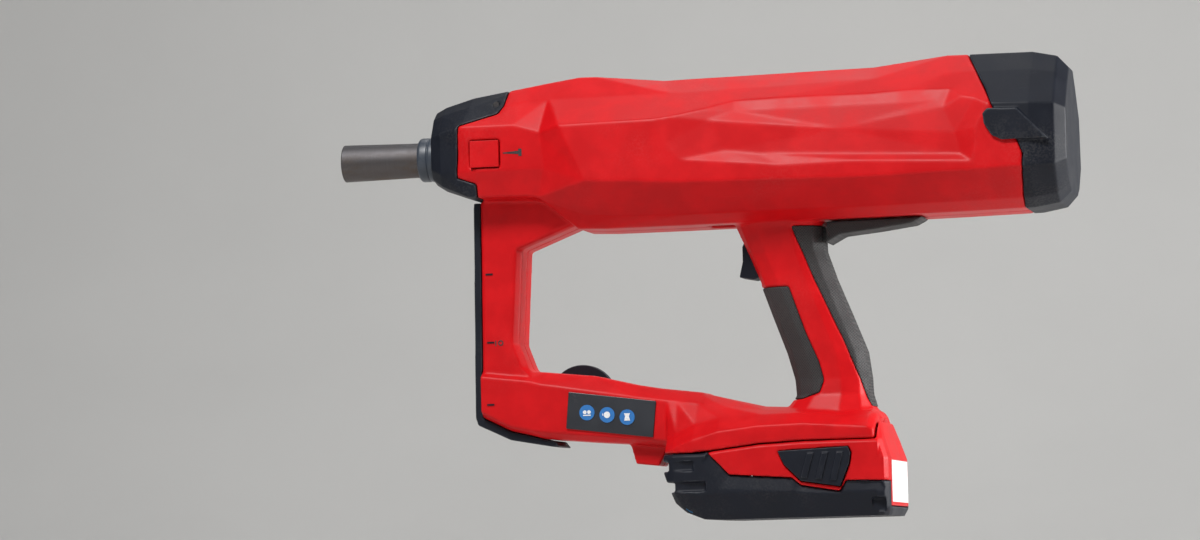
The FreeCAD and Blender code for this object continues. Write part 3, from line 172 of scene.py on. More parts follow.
# ---------------------------------------------------------------- meshes


# How strongly a bend counts as an edge.
EDGE_GAIN = 9.0


def add_object(name, mesh):
    """Put a new object with this data into the scene."""
    piece = bpy.data.objects.new(name, mesh)
    bpy.context.scene.collection.objects.link(piece)
    return piece


def mesh_from_arrays(name, points, faces):
    """A mesh from an (n, 3) array of points and a list of equal-length faces, smooth shaded."""
    mesh = bpy.data.meshes.new(name)
    mesh.from_pydata(np.asarray(points).tolist(), [], np.asarray(faces).tolist())
    mesh.polygons.foreach_set("use_smooth", np.ones(len(mesh.polygons), bool))
    mesh.update()
    return mesh


def evaluated_mesh(piece, name):
    """The piece's mesh with its modifiers applied."""
    bpy.context.view_layer.update()
    depsgraph = bpy.context.evaluated_depsgraph_get()
    mesh = bpy.data.meshes.new_from_object(piece.evaluated_get(depsgraph))
    mesh.name = name
    return mesh


def mark_edges(mesh):
    """Store how convex the surface is at each vertex.

    For each vertex, the mean of its neighbours' heights above its own tangent plane, divided by the
    distance, is negative on a ridge; its opposite, scaled and clipped to 0..1, is the attribute "edge".
    """
    count = len(mesh.vertices)
    points = np.empty(count * 3, np.float32)
    mesh.vertices.foreach_get("co", points)
    points = points.reshape(-1, 3)
    normals = np.empty(count * 3, np.float32)
    mesh.vertex_normals.foreach_get("vector", normals)
    normals = normals.reshape(-1, 3)
    pairs = np.empty(len(mesh.edges) * 2, np.int32)
    mesh.edges.foreach_get("vertices", pairs)
    pairs = pairs.reshape(-1, 2)
    value = bend_at_vertices(points, normals, pairs, count)
    for _ in range(2):
        value = spread_to_neighbours(value, pairs, count)
    layer = mesh.attributes.new("edge", "FLOAT", "POINT")
    layer.data.foreach_set("value", np.clip(value * EDGE_GAIN, 0, 1).astype(np.float32))


def bend_at_vertices(points, normals, pairs, count):
    """Mean slope from each vertex down to its neighbours, positive where the surface is convex."""
    first, second = pairs[:, 0], pairs[:, 1]
    step = points[second] - points[first]
    length = np.linalg.norm(step, axis=1) + 1e-12
    total = np.zeros(count)
    hits = np.zeros(count)
    np.add.at(total, first, -(step * normals[first]).sum(1) / length)
    np.add.at(total, second, (step * normals[second]).sum(1) / length)
    np.add.at(hits, first, 1)
    np.add.at(hits, second, 1)
    return total / np.maximum(hits, 1)


def spread_to_neighbours(value, pairs, count):
    """Average each vertex's value with its neighbours' mean."""
    first, second = pairs[:, 0], pairs[:, 1]
    total = np.zeros(count)
    hits = np.zeros(count)
    np.add.at(total, first, value[second])
    np.add.at(total, second, value[first])
    np.add.at(hits, first, 1)
    np.add.at(hits, second, 1)
    return 0.5 * value + 0.5 * total / np.maximum(hits, 1)


def merged_copy(node):
    """A copy of a CAD node's mesh with its loose triangles joined."""
    mesh = NODES[node].data.copy()
    form = bmesh.new()
    form.from_mesh(mesh)
    bmesh.ops.remove_doubles(form, verts=form.verts, dist=2e-6)
    bmesh.ops.recalc_face_normals(form, faces=form.faces)
    form.to_mesh(mesh)
    form.free()
    mesh.materials.clear()
    return mesh


def moulded_copy(node, voxel, passes, limit):
    """A rounded stand-in for a CAD solid, as it would leave a mould.

    The closed solid is resampled on a grid of one voxel, relaxed by a number of smoothing passes, which
    rounds every edge and inner corner to about two voxels, and thinned to a number of triangles.
    """
    source = add_object("source_" + node, merged_copy(node))
    grid = source.modifiers.new("Grid", "REMESH")
    grid.mode = "VOXEL"
    grid.voxel_size = voxel
    relax = source.modifiers.new("Relax", "SMOOTH")
    relax.factor = 0.5
    relax.iterations = passes
    dense = evaluated_mesh(source, "dense_" + node)
    triangles = 2 * len(dense.polygons)
    source.modifiers.clear()
    source.data = dense
    if triangles > limit:
        thin = source.modifiers.new("Thin", "DECIMATE")
        thin.ratio = limit / triangles
    mesh = evaluated_mesh(source, node + "_moulding")
    bpy.data.objects.remove(source)
    mesh.polygons.foreach_set("use_smooth", np.ones(len(mesh.polygons), bool))
    mark_edges(mesh)
    return add_object(node + "_moulding", mesh)


def lathe(name, profile, steps):
    """A surface of revolution about the X axis.

    Point (i, j) is (x_i, r_i cos t_j, r_i sin t_j), where (x_i, r_i) is the closed profile, listed so
    that its outside lies to its left, and t_j goes once round. Both directions close on themselves.
    """
    profile = np.asarray(profile, float)
    turn = np.linspace(0, 2 * np.pi, steps, endpoint=False)
    x = np.repeat(profile[:, 0], steps)
    y = np.outer(profile[:, 1], np.cos(turn)).ravel()
    z = np.outer(profile[:, 1], np.sin(turn)).ravel()
    rows = len(profile)
    i, j = np.meshgrid(np.arange(rows), np.arange(steps), indexing="ij")
    here = i * steps + j
    across = i * steps + (j + 1) % steps
    on = ((i + 1) % rows) * steps + j
    both = ((i + 1) % rows) * steps + (j + 1) % steps
    faces = np.stack([here, across, both, on], axis=-1).reshape(-1, 4)
    return add_object(name, outward(mesh_from_arrays(name, np.stack([x, y, z], axis=1), faces)))


def outward(mesh):
    """Turn a closed mesh's faces to point outwards."""
    form = bmesh.new()
    form.from_mesh(mesh)
    bmesh.ops.remove_doubles(form, verts=form.verts, dist=1e-7)
    bmesh.ops.recalc_face_normals(form, faces=form.faces)
    form.to_mesh(mesh)
    form.free()
    return mesh


def rounded_profile(corners, radius, steps=5):
    """A closed outline with each corner cut by an arc.

    At a corner the outline leaves the edge at a distance of radius and follows the quadratic curve with
    the corner as its control point.
    """
    corners = [np.asarray(c, float) for c in corners]
    outline = []
    for k, corner in enumerate(corners):
        before, after = corners[k - 1], corners[(k + 1) % len(corners)]
        reach_in = min(radius, 0.45 * np.linalg.norm(before - corner))
        reach_out = min(radius, 0.45 * np.linalg.norm(after - corner))
        start = corner + (before - corner) / np.linalg.norm(before - corner) * reach_in
        stop = corner + (after - corner) / np.linalg.norm(after - corner) * reach_out
        for t in np.linspace(0, 1, steps):
            outline.append((1 - t) ** 2 * start + 2 * t * (1 - t) * corner + t ** 2 * stop)
    return np.array(outline)


def plate_on_side(name, outline, y, height, side):
    """A flat plate that stands out from a side plane.

    The outline is a list of (x, z) in metres. One copy of it lies at y, and one at y + side * height,
    and a strip of faces joins them.
    """
    outline = np.asarray(outline, float)
    count = len(outline)
    low = np.column_stack([outline[:, 0], np.full(count, y), outline[:, 1]])
    high = np.column_stack([outline[:, 0], np.full(count, y + side * height), outline[:, 1]])
    mesh = bpy.data.meshes.new(name)
    k = np.arange(count)
    strip = np.stack([k, (k + 1) % count, (k + 1) % count + count, k + count], axis=1).tolist()
    faces = [list(range(count)), list(range(count, 2 * count))] + strip
    mesh.from_pydata(np.vstack([low, high]).tolist(), [], faces)
    return outward(mesh)


def circle_outline(x, z, radius, steps=40):
    """Points (x + r cos t, z + r sin t)."""
    turn = np.linspace(0, 2 * np.pi, steps, endpoint=False)
    return np.column_stack([x + radius * np.cos(turn), z + radius * np.sin(turn)])


def half_rings(x, z, wide, high, stroke):
    """The two halves of an upright oval ring; each is an outer half ellipse and an inner one back."""
    turn = np.linspace(-np.pi / 2, np.pi / 2, 12)
    halves = []
    for side in (LEFT, RIGHT):
        outer = np.column_stack([x + side * wide * np.cos(turn), z + high * np.sin(turn)])
        thin_wide, thin_high = wide - stroke, high - stroke
        inner = np.column_stack([x + side * thin_wide * np.cos(turn), z + thin_high * np.sin(turn)])
        halves.append(np.vstack([outer, inner[::-1]]))
    return halves


def joined(name, meshes):
    """One object from several meshes that share a place."""
    form = bmesh.new()
    for mesh in meshes:
        form.from_mesh(mesh)
    whole = bpy.data.meshes.new(name)
    form.to_mesh(whole)
    form.free()
    return add_object(name, whole)


# ---------------------------------------------------------------- shader groups


def new_group(name, inputs, outputs):
    """A shader node group with named sockets."""
    group = bpy.data.node_groups.new(name, "ShaderNodeTree")
    for label, kind, default in inputs:
        socket = group.interface.new_socket(name=label, in_out="INPUT", socket_type=kind)
        if default is not None:
            socket.default_value = default
    for label, kind in outputs:
        group.interface.new_socket(name=label, in_out="OUTPUT", socket_type=kind)
    entry = group.nodes.new("NodeGroupInput")
    leave = group.nodes.new("NodeGroupOutput")
    return group, entry, leave


def node(tree, kind, **values):
    """A shader node with some of its properties set."""
    item = tree.nodes.new(kind)
    for key, value in values.items():
        setattr(item, key, value)
    return item


def maths(tree, operation, a, b, clamp=False):
    """A Math node; a and b are sockets or numbers."""
    item = node(tree, "ShaderNodeMath", operation=operation, use_clamp=clamp)
    for socket, value in zip(item.inputs, (a, b)):
        if isinstance(value, (int, float)):
            socket.default_value = value
        else:
            tree.links.new(value, socket)
    return item.outputs[0]


def remap(tree, value, low, high, out_low=0.0, out_high=1.0):
    """A smooth step from low to high."""
    item = node(tree, "ShaderNodeMapRange", interpolation_type="SMOOTHSTEP")
    tree.links.new(value, item.inputs["Value"])
    for label, number in (("From Min", low), ("From Max", high), ("To Min", out_low), ("To Max", out_high)):
        item.inputs[label].default_value = number
    return item.outputs["Result"]


def noise(tree, vector, scale, detail=3.0, roughness=0.55):
    """The factor of a Noise texture; scale is a socket or a number."""
    item = node(tree, "ShaderNodeTexNoise")
    tree.links.new(vector, item.inputs["Vector"])
    if isinstance(scale, (int, float)):
        item.inputs["Scale"].default_value = scale
    else:
        tree.links.new(scale, item.inputs["Scale"])
    item.inputs["Detail"].default_value = detail
    item.inputs["Roughness"].default_value = roughness
    return item.outputs["Fac"]


def stretched(tree, vector, scale, turn=(0, 0, 0)):
    """The vector turned and scaled by a Mapping node."""
    item = node(tree, "ShaderNodeMapping")
    tree.links.new(vector, item.inputs["Vector"])
    item.inputs["Scale"].default_value = scale
    item.inputs["Rotation"].default_value = turn
    return item.outputs["Vector"]


def make_grain_group():
    """Spark-eroded mould grain: fine pits from cell distance, broken up by noise."""
    group, entry, leave = new_group("Mould grain", [
        ("Vector", "NodeSocketVector", None), ("Scale", "NodeSocketFloat", 2200.0),
    ], [("Height", "NodeSocketFloat"), ("Mottle", "NodeSocketFloat")])
    pits = node(group, "ShaderNodeTexVoronoi", feature="SMOOTH_F1")
    group.links.new(entry.outputs["Vector"], pits.inputs["Vector"])
    group.links.new(entry.outputs["Scale"], pits.inputs["Scale"])
    fine = noise(group, entry.outputs["Vector"], maths(group, "MULTIPLY", entry.outputs["Scale"], 0.7), 4.0)
    height = maths(group, "ADD", pits.outputs["Distance"], fine)
    group.links.new(height, leave.inputs["Height"])
    group.links.new(noise(group, entry.outputs["Vector"], 60.0, 4.0), leave.inputs["Mottle"])
    return group


def make_wear_group():
    """Rubbed edges: the edge attribute, made ragged by noise, above a threshold."""
    group, entry, leave = new_group("Edge wear", [
        ("Vector", "NodeSocketVector", None), ("Edge", "NodeSocketFloat", 0.0),
        ("Amount", "NodeSocketFloat", 0.5),
    ], [("Wear", "NodeSocketFloat")])
    ragged = noise(group, entry.outputs["Vector"], 420.0, 5.0, 0.7)
    patchy = noise(group, entry.outputs["Vector"], 28.0, 2.0)
    level = maths(group, "MULTIPLY", entry.outputs["Edge"], maths(group, "ADD", ragged, patchy))
    level = maths(group, "MULTIPLY", level, entry.outputs["Amount"])
    group.links.new(remap(group, level, 0.28, 0.75), leave.inputs["Wear"])
    return group


def make_dust_group():
    """Dust and scuffs: soft cloudy patches, and thin marks from noise stretched along two directions."""
    group, entry, leave = new_group("Site marks", [
        ("Vector", "NodeSocketVector", None), ("Dust", "NodeSocketFloat", 0.3),
        ("Scuffs", "NodeSocketFloat", 0.3),
    ], [("Dust", "NodeSocketFloat"), ("Scuff", "NodeSocketFloat")])
    cloud = noise(group, entry.outputs["Vector"], 16.0, 6.0, 0.65)
    speck = noise(group, entry.outputs["Vector"], 900.0, 2.0)
    patch = maths(group, "MULTIPLY", remap(group, cloud, 0.5, 0.78), remap(group, speck, 0.42, 0.62))
    group.links.new(maths(group, "MULTIPLY", patch, entry.outputs["Dust"], True), leave.inputs["Dust"])
    along = stretched(group, entry.outputs["Vector"], (22, 1500, 900), (0.2, 0.35, 0.1))
    lines = noise(group, along, 1.0, 2.0)
    upright = stretched(group, entry.outputs["Vector"], (900, 1500, 30), (0.1, -0.5, 0.3))
    cross = noise(group, upright, 1.0, 2.0)
    where = remap(group, noise(group, entry.outputs["Vector"], 34.0, 3.0), 0.52, 0.68)
    thin = maths(group, "MAXIMUM", remap(group, lines, 0.70, 0.76), remap(group, cross, 0.71, 0.77))
    scuff = maths(group, "MULTIPLY", maths(group, "MULTIPLY", thin, where), entry.outputs["Scuffs"], True)
    group.links.new(scuff, leave.inputs["Scuff"])
    return group


def make_turned_group():
    """Turning marks: noise that changes along the axis only, with faint streaks along the length."""
    group, entry, leave = new_group("Turned metal", [
        ("Vector", "NodeSocketVector", None), ("Pitch", "NodeSocketFloat", 3000.0),
    ], [("Height", "NodeSocketFloat"), ("Stain", "NodeSocketFloat")])
    rings = node(group, "ShaderNodeTexNoise")
    axis_only = stretched(group, entry.outputs["Vector"], (1, 0.02, 0.02))
    group.links.new(axis_only, rings.inputs["Vector"])
    group.links.new(entry.outputs["Pitch"], rings.inputs["Scale"])
    rings.inputs["Detail"].default_value = 2.0
    group.links.new(rings.outputs["Fac"], leave.inputs["Height"])
    smear = noise(group, stretched(group, entry.outputs["Vector"], (30, 90, 90)), 1.0, 5.0, 0.65)
    group.links.new(smear, leave.inputs["Stain"])
    return group


def make_weave_group():
    """Rubber grip texture: two crossing sine waves in a diamond pattern, flattened on top."""
    group, entry, leave = new_group("Diamond grip", [
        ("Vector", "NodeSocketVector", None), ("Size", "NodeSocketFloat", 520.0),
    ], [("Height", "NodeSocketFloat")])
    waves = []
    for turn in (0.7, -0.7):
        wave = node(group, "ShaderNodeTexWave", wave_type="BANDS", bands_direction="X")
        slanted = stretched(group, entry.outputs["Vector"], (1, 1, 1), (0, turn, 0))
        group.links.new(slanted, wave.inputs["Vector"])
        group.links.new(entry.outputs["Size"], wave.inputs["Scale"])
        waves.append(wave.outputs["Fac"])
    height = maths(group, "MINIMUM", waves[0], waves[1])
    group.links.new(remap(group, height, 0.15, 0.6), leave.inputs["Height"])
    return group


GROUPS = {}


def shared_groups():
    """The shader groups, built once."""
    if not GROUPS:
        GROUPS["grain"] = make_grain_group()
        GROUPS["wear"] = make_wear_group()
        GROUPS["marks"] = make_dust_group()
        GROUPS["turned"] = make_turned_group()
        GROUPS["diamond"] = make_weave_group()
    return GROUPS


# ---------------------------------------------------------------- materials


def blend_colour(tree, factor, first, second):
    """Mix two colours; each is a socket or an RGB triple."""
    item = node(tree, "ShaderNodeMix", data_type="RGBA")
    tree.links.new(factor, item.inputs["Factor"])
    for label, value in (("A", first), ("B", second)):
        socket = next(s for s in item.inputs if s.name == label and s.type == "RGBA")
        if isinstance(value, bpy.types.NodeSocket):
            tree.links.new(value, socket)
        else:
            socket.default_value = (*value, 1.0)
    return next(s for s in item.outputs if s.type == "RGBA")


def place_group(tree, key, vector, **values):
    """Place a shared group in a material; each value is a socket or a number."""
    item = node(tree, "ShaderNodeGroup")
    item.node_tree = shared_groups()[key]
    tree.links.new(vector, item.inputs["Vector"])
    for label, value in values.items():
        socket = item.inputs[label]
        if isinstance(value, (int, float)):
            socket.default_value = value
        else:
            tree.links.new(value, socket)
    return item


def start_material(name):
    """A new material with its tree, its shader and the Object coordinates."""
    material = bpy.data.materials.new(name)
    material.use_nodes = True
    tree = material.node_tree
    shader = tree.nodes["Principled BSDF"]
    place = node(tree, "ShaderNodeTexCoord").outputs["Object"]
    return material, tree, shader, place


def add_bump(tree, shader, height, distance):
    """Raise the surface by a height between 0 and 1 times a distance."""
    bump = node(tree, "ShaderNodeBump")
    bump.inputs["Distance"].default_value = distance
    tree.links.new(height, bump.inputs["Height"])
    tree.links.new(bump.outputs["Normal"], shader.inputs["Normal"])


def plastic(name, colour, worn, rough, grain=2200.0, depth=0.02 * MM, wear=0.5, dust=0.3, scuffs=0.4,
            coat=0.0, gloss=0.5):
    """Moulded plastic: grain, slow tint changes, rubbed edges, scuffs and a little concrete dust."""
    colours = bpy.context.scene.nail_gun_colours
    material, tree, shader, place = start_material(name)
    edge = node(tree, "ShaderNodeAttribute", attribute_name="edge")
    skin = place_group(tree, "grain", place, Scale=grain)
    rub = place_group(tree, "wear", place, Edge=edge.outputs["Fac"], Amount=wear)
    marks = place_group(tree, "marks", place, Dust=dust, Scuffs=scuffs)
    deeper = tuple(c * 0.86 for c in colour)
    base = blend_colour(tree, remap(tree, skin.outputs["Mottle"], 0.35, 0.7), deeper, colour)
    base = blend_colour(tree, rub.outputs["Wear"], base, worn)
    base = blend_colour(tree, marks.outputs["Scuff"], base, worn)
    base = blend_colour(tree, marks.outputs["Dust"], base, tuple(colours.dust))
    tree.links.new(base, shader.inputs["Base Color"])
    dull = maths(tree, "MULTIPLY", marks.outputs["Dust"], 0.35)
    shine = maths(tree, "MULTIPLY", rub.outputs["Wear"], -0.08)
    uneven = remap(tree, skin.outputs["Mottle"], 0.3, 0.75, rough - 0.04, rough + 0.05)
    total = maths(tree, "ADD", uneven, maths(tree, "ADD", dull, shine), True)
    tree.links.new(total, shader.inputs["Roughness"])
    shader.inputs["Specular IOR Level"].default_value = gloss
    shader.inputs["Coat Weight"].default_value = coat
    shader.inputs["Coat Roughness"].default_value = 0.3
    relief = maths(tree, "ADD", skin.outputs["Height"], maths(tree, "MULTIPLY", marks.outputs["Scuff"], -1.5))
    add_bump(tree, shader, relief, depth)
    return material


def rubber(name):
    """Moulded rubber with a diamond pattern, pale with dust in its hollows."""
    colours = bpy.context.scene.nail_gun_colours
    material, tree, shader, place = start_material(name)
    pattern = place_group(tree, "diamond", place, Size=300.0)
    skin = place_group(tree, "grain", place, Scale=1800.0)
    marks = place_group(tree, "marks", place, Dust=0.25, Scuffs=0.2)
    hollow = maths(tree, "SUBTRACT", 1.0, pattern.outputs["Height"], True)
    chalk = maths(tree, "MULTIPLY", maths(tree, "ADD", hollow, marks.outputs["Dust"]), 0.05)
    base = blend_colour(tree, chalk, tuple(colours.rubber), tuple(colours.dust))
    tree.links.new(base, shader.inputs["Base Color"])
    tree.links.new(remap(tree, skin.outputs["Mottle"], 0.3, 0.7, 0.62, 0.8), shader.inputs["Roughness"])
    pits = maths(tree, "MULTIPLY", skin.outputs["Height"], 0.12)
    relief = maths(tree, "ADD", pattern.outputs["Height"], pits)
    add_bump(tree, shader, relief, 0.35 * MM)
    return material


BROWN_STAIN = (0.12, 0.08, 0.05)
METAL_DUST = (0.4, 0.37, 0.33)


def metal(name, colour, rough, stained=0.4, pitch=3000.0, depth=0.012 * MM, low_stain=False):
    """Turned or drawn metal: fine rings, streaks, brown stain in cloudy patches."""
    material, tree, shader, place = start_material(name)
    turned = place_group(tree, "turned", place, Pitch=pitch)
    marks = place_group(tree, "marks", place, Dust=0.12, Scuffs=0.5)
    patch = remap(tree, turned.outputs["Stain"], 0.42, 0.72)
    if low_stain:
        parts = node(tree, "ShaderNodeSeparateXYZ")
        tree.links.new(place, parts.inputs[0])
        below = remap(tree, parts.outputs["Z"], 6 * MM, -8 * MM)
        fuller = maths(tree, "ADD", patch, 0.35)
        patch = maths(tree, "MULTIPLY", maths(tree, "ADD", below, 0.15), fuller, True)
    amount = maths(tree, "MULTIPLY", patch, stained, True)
    lighter = tuple(min(1.0, c * 1.25) for c in colour)
    base = blend_colour(tree, turned.outputs["Height"], colour, lighter)
    base = blend_colour(tree, amount, base, BROWN_STAIN)
    base = blend_colour(tree, marks.outputs["Dust"], base, METAL_DUST)
    tree.links.new(base, shader.inputs["Base Color"])
    shader.inputs["Metallic"].default_value = 1.0
    uneven = maths(tree, "ADD", remap(tree, turned.outputs["Stain"], 0.3, 0.7, rough - 0.06, rough + 0.1),
                   maths(tree, "MULTIPLY", marks.outputs["Scuff"], 0.2), True)
    tree.links.new(uneven, shader.inputs["Roughness"])
    relief = maths(tree, "SUBTRACT", turned.outputs["Height"], marks.outputs["Scuff"])
    add_bump(tree, shader, relief, depth)
    return material


def printed(name, colour, rough=0.5):
    """Printed or painted mark: ink that is thin in places."""
    material, tree, shader, place = start_material(name)
    thin = noise(tree, place, 1400.0, 3.0)
    base = blend_colour(tree, remap(tree, thin, 0.3, 0.75), colour, tuple(0.75 * c + 0.03 for c in colour))
    tree.links.new(base, shader.inputs["Base Color"])
    tree.links.new(remap(tree, thin, 0.3, 0.7, rough - 0.05, rough + 0.1), shader.inputs["Roughness"])
    add_bump(tree, shader, thin, 0.01 * MM)
    return material


BOARD_MASK = (0.012, 0.10, 0.035)
BOARD_TRACK = (0.05, 0.22, 0.08)


def board(name):
    """Circuit board: green mask with paler tracks in a square maze."""
    material, tree, shader, place = start_material(name)
    cells = node(tree, "ShaderNodeTexVoronoi", distance="CHEBYCHEV", feature="F1")
    tree.links.new(place, cells.inputs["Vector"])
    cells.inputs["Scale"].default_value = 380.0
    track = remap(tree, cells.outputs["Distance"], 0.30, 0.36)
    base = blend_colour(tree, track, BOARD_MASK, BOARD_TRACK)
    tree.links.new(base, shader.inputs["Base Color"])
    tree.links.new(remap(tree, noise(tree, place, 300.0), 0.3, 0.7, 0.3, 0.45), shader.inputs["Roughness"])
    add_bump(tree, shader, cells.outputs["Distance"], 0.03 * MM)
    return material


MATERIALS = {}


def make_materials():
    """One finish for each of the record's material slots, and for the prints."""
    c = bpy.context.scene.nail_gun_colours
    red, red_worn = tuple(c.red), tuple(c.red_worn)
    black, black_worn = tuple(c.black), tuple(c.black_worn)
    MATERIALS.update({
        "red_plastic": plastic("Red shell plastic", red, red_worn, 0.44, wear=0.35,
                               dust=0.03, scuffs=0.25, gloss=0.17),
        "black_plastic": plastic("Black cap plastic", black, black_worn, 0.52, wear=0.5,
                                 dust=0.05, scuffs=0.35, gloss=0.2),
        "rubber": rubber("Grip rubber"),
        "barrel_steel": metal("Muzzle steel", tuple(c.steel), 0.52, stained=0.6, low_stain=True),
        "dark_steel": plastic("Blued collar", (0.035, 0.045, 0.062), (0.2, 0.22, 0.25), 0.36, grain=1500.0,
                              depth=0.01 * MM, wear=0.5, dust=0.1),
        "machined_steel": metal("Machined steel", (0.5, 0.5, 0.51), 0.3, stained=0.15),
        "spring_steel": metal("Spring wire", (0.22, 0.22, 0.23), 0.32, stained=0.2, pitch=1500.0),
        "cast_alloy": metal("Cast alloy", (0.55, 0.55, 0.56), 0.5, stained=0.1, pitch=400.0, depth=0.05 * MM),
        "screw_steel": metal("Blackened screws", (0.06, 0.06, 0.065), 0.42, stained=0.2),
        "copper": metal("Copper winding", (0.62, 0.26, 0.12), 0.35, stained=0.2, pitch=1200.0,
                        depth=0.1 * MM),
        "brass": metal("Plated contact", (0.72, 0.55, 0.25), 0.28, stained=0.15),
        "board_green": board("Circuit board"),
        "board_parts": plastic("Board components", (0.02, 0.02, 0.02), (0.12, 0.12, 0.12), 0.4, wear=0.2,
                               dust=0.05),
        "cell_wrap": plastic("Cell wrap", (0.03, 0.16, 0.34), (0.2, 0.3, 0.4), 0.28, depth=0.005 * MM,
                             dust=0.0),
        "pale_label": printed("Pale label", (0.78, 0.78, 0.77), 0.45),
        "blue_disc": printed("Blue sign", (0.015, 0.17, 0.50), 0.35),
        "white_print": printed("White print", (0.85, 0.86, 0.87), 0.45),
        "black_print": printed("Black print", (0.012, 0.012, 0.014), 0.5),
        "label_film": plastic("Label film", (0.022, 0.025, 0.032), (0.1, 0.1, 0.11), 0.34, grain=1200.0,
                              depth=0.006 * MM, wear=0.3, dust=0.2, coat=0.2),
    })


def finish_piece(piece, body, finish, replaced=()):
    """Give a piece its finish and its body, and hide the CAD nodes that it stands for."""
    piece.data.materials.clear()
    piece.data.materials.append(MATERIALS[finish])
    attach(piece, body)
    if replaced:
        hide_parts(*replaced)
    return piece


# ---------------------------------------------------------------- operators


class BuildFinishes(bpy.types.Operator):
    """Make the shader groups and finishes, and put them on every CAD part"""

    bl_idname = "nail_gun.finishes"
    bl_label = "Finishes"

    def execute(self, context):
        make_materials()
        slots = {entry["node"]: entry["material_slot"] for entry in frame["record"]["subparts"]}
        for name, part in NODES.items():
            part.data.materials.clear()
            part.data.materials.append(MATERIALS[slots[name]])
        return {"FINISHED"}


class BuildHousing(bpy.types.Operator):
    """Mould the two halves of the red housing, the rear cap and the wear strip"""

    bl_idname = "nail_gun.housing"
    bl_label = "Housing"

    def execute(self, context):
        s = context.scene.nail_gun_shells
        for side in ("left", "right"):
            shell = moulded_copy("housing_" + side, s.housing_voxel, s.rounding, 190000)
            finish_piece(shell, "tool", "red_plastic", ["housing_" + side])
        for name, voxel, limit in (("nose_cap", s.case_voxel, 120000), ("rear_cap", s.case_voxel, 120000),
                                   ("wear_strip", s.case_voxel, 60000)):
            finish_piece(moulded_copy(name, voxel, s.rounding, limit), "tool", "black_plastic", [name])
        return {"FINISHED"}


class BuildGrips(bpy.types.Operator):
    """Mould the rubber grips of the handle and the pad under the housing"""

    bl_idname = "nail_gun.grips"
    bl_label = "Grips"

    def execute(self, context):
        s = context.scene.nail_gun_shells
        for name in ("grip_front", "grip_rear", "tang_pad"):
            finish_piece(moulded_copy(name, s.case_voxel, s.rounding, 80000), "tool", "rubber", [name])
        return {"FINISHED"}


class BuildBattery(bpy.types.Operator):
    """Mould the battery's cases and its two ribbed latches"""

    bl_idname = "nail_gun.battery"
    bl_label = "Battery"

    def execute(self, context):
        s = context.scene.nail_gun_shells
        for name, finish in (("battery_upper_case", "red_plastic"), ("battery_lower_case", "black_plastic")):
            finish_piece(moulded_copy(name, s.case_voxel, s.rounding - 2, 180000), "battery", finish, [name])
        for name in ("latch_left", "latch_right"):
            finish_piece(moulded_copy(name, s.small_voxel, 4, 60000), name, "black_plastic", [name])
        return {"FINISHED"}


class BuildControls(bpy.types.Operator):
    """Mould the release button, the trigger and the hook"""

    bl_idname = "nail_gun.controls"
    bl_label = "Controls"

    def execute(self, context):
        s = context.scene.nail_gun_shells
        for name, body, finish in (("release_button", "button", "red_plastic"),
                                   ("trigger", "trigger", "black_plastic"),
                                   ("utility_hook", "hook", "black_plastic")):
            finish_piece(moulded_copy(name, s.small_voxel, 4, 60000), body, finish, [name])
        return {"FINISHED"}


class BuildNose(bpy.types.Operator):
    """Turn the muzzle tube, the collar and the raised ring behind it"""

    bl_idname = "nail_gun.nose"
    bl_label = "Nose"

    def execute(self, context):
        s = context.scene.nail_gun_nose
        low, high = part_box("nose_barrel")
        collar_low, collar_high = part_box("nose_collar")
        flange, flange_end = s.flange_place, s.flange_place + 3 * MM
        tube = rounded_profile([
            (low.x, s.bore_radius), (low.x, s.muzzle_radius), (collar_low.x - 6 * MM, s.tube_radius),
            (flange, s.tube_radius), (flange, high.z), (flange_end, high.z), (flange_end, s.tube_radius),
            (high.x, s.tube_radius), (high.x, s.guide_radius), (s.bore_depth + 4 * MM, s.guide_radius),
            (s.bore_depth, s.bore_radius),
        ], s.rim_radius)
        finish_piece(lathe("muzzle_tube", tube, s.barrel_steps), "barrel", "barrel_steel", ["nose_barrel"])
        inner = s.tube_radius + 0.08 * MM
        outer = collar_high.z
        bush = rounded_profile([
            (collar_low.x, inner), (collar_low.x, outer - 0.9 * MM), (collar_low.x + 1.2 * MM, outer),
            (collar_low.x + 5.2 * MM, outer), (collar_low.x + 5.8 * MM, outer - 0.5 * MM),
            (collar_low.x + 6.4 * MM, outer), (collar_high.x, outer), (collar_high.x, inner),
        ], 0.8 * MM)
        finish_piece(lathe("collar_bush", bush, s.barrel_steps), "tool", "dark_steel", ["nose_collar"])
        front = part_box("nose_cap")[0].x  # the ring stands round the bush, against the cap's front
        boss = rounded_profile([
            (front - 2 * MM, outer + 0.1 * MM), (front - 2 * MM, outer + 0.9 * MM),
            (front - 0.8 * MM, s.boss_radius - 0.8 * MM), (front + 0.6 * MM, s.boss_radius),
            (front + 4 * MM, s.boss_radius), (front + 4 * MM, outer + 0.1 * MM),
        ], 0.7 * MM)
        finish_piece(lathe("cap_boss", boss, s.barrel_steps), "tool", "black_plastic")
        return {"FINISHED"}


def bevelled_plate(node_name, width, segments=3):
    """A copy of a plain CAD plate with its edges rounded by a Bevel modifier."""
    plate = add_object(node_name + "_plate", merged_copy(node_name))
    trim = plate.modifiers.new("Round", "BEVEL")
    trim.width = width
    trim.segments = segments
    trim.limit_method = "ANGLE"
    trim.angle_limit = math.radians(35)
    plate.data = evaluated_mesh(plate, node_name + "_plate")
    plate.modifiers.clear()
    return plate


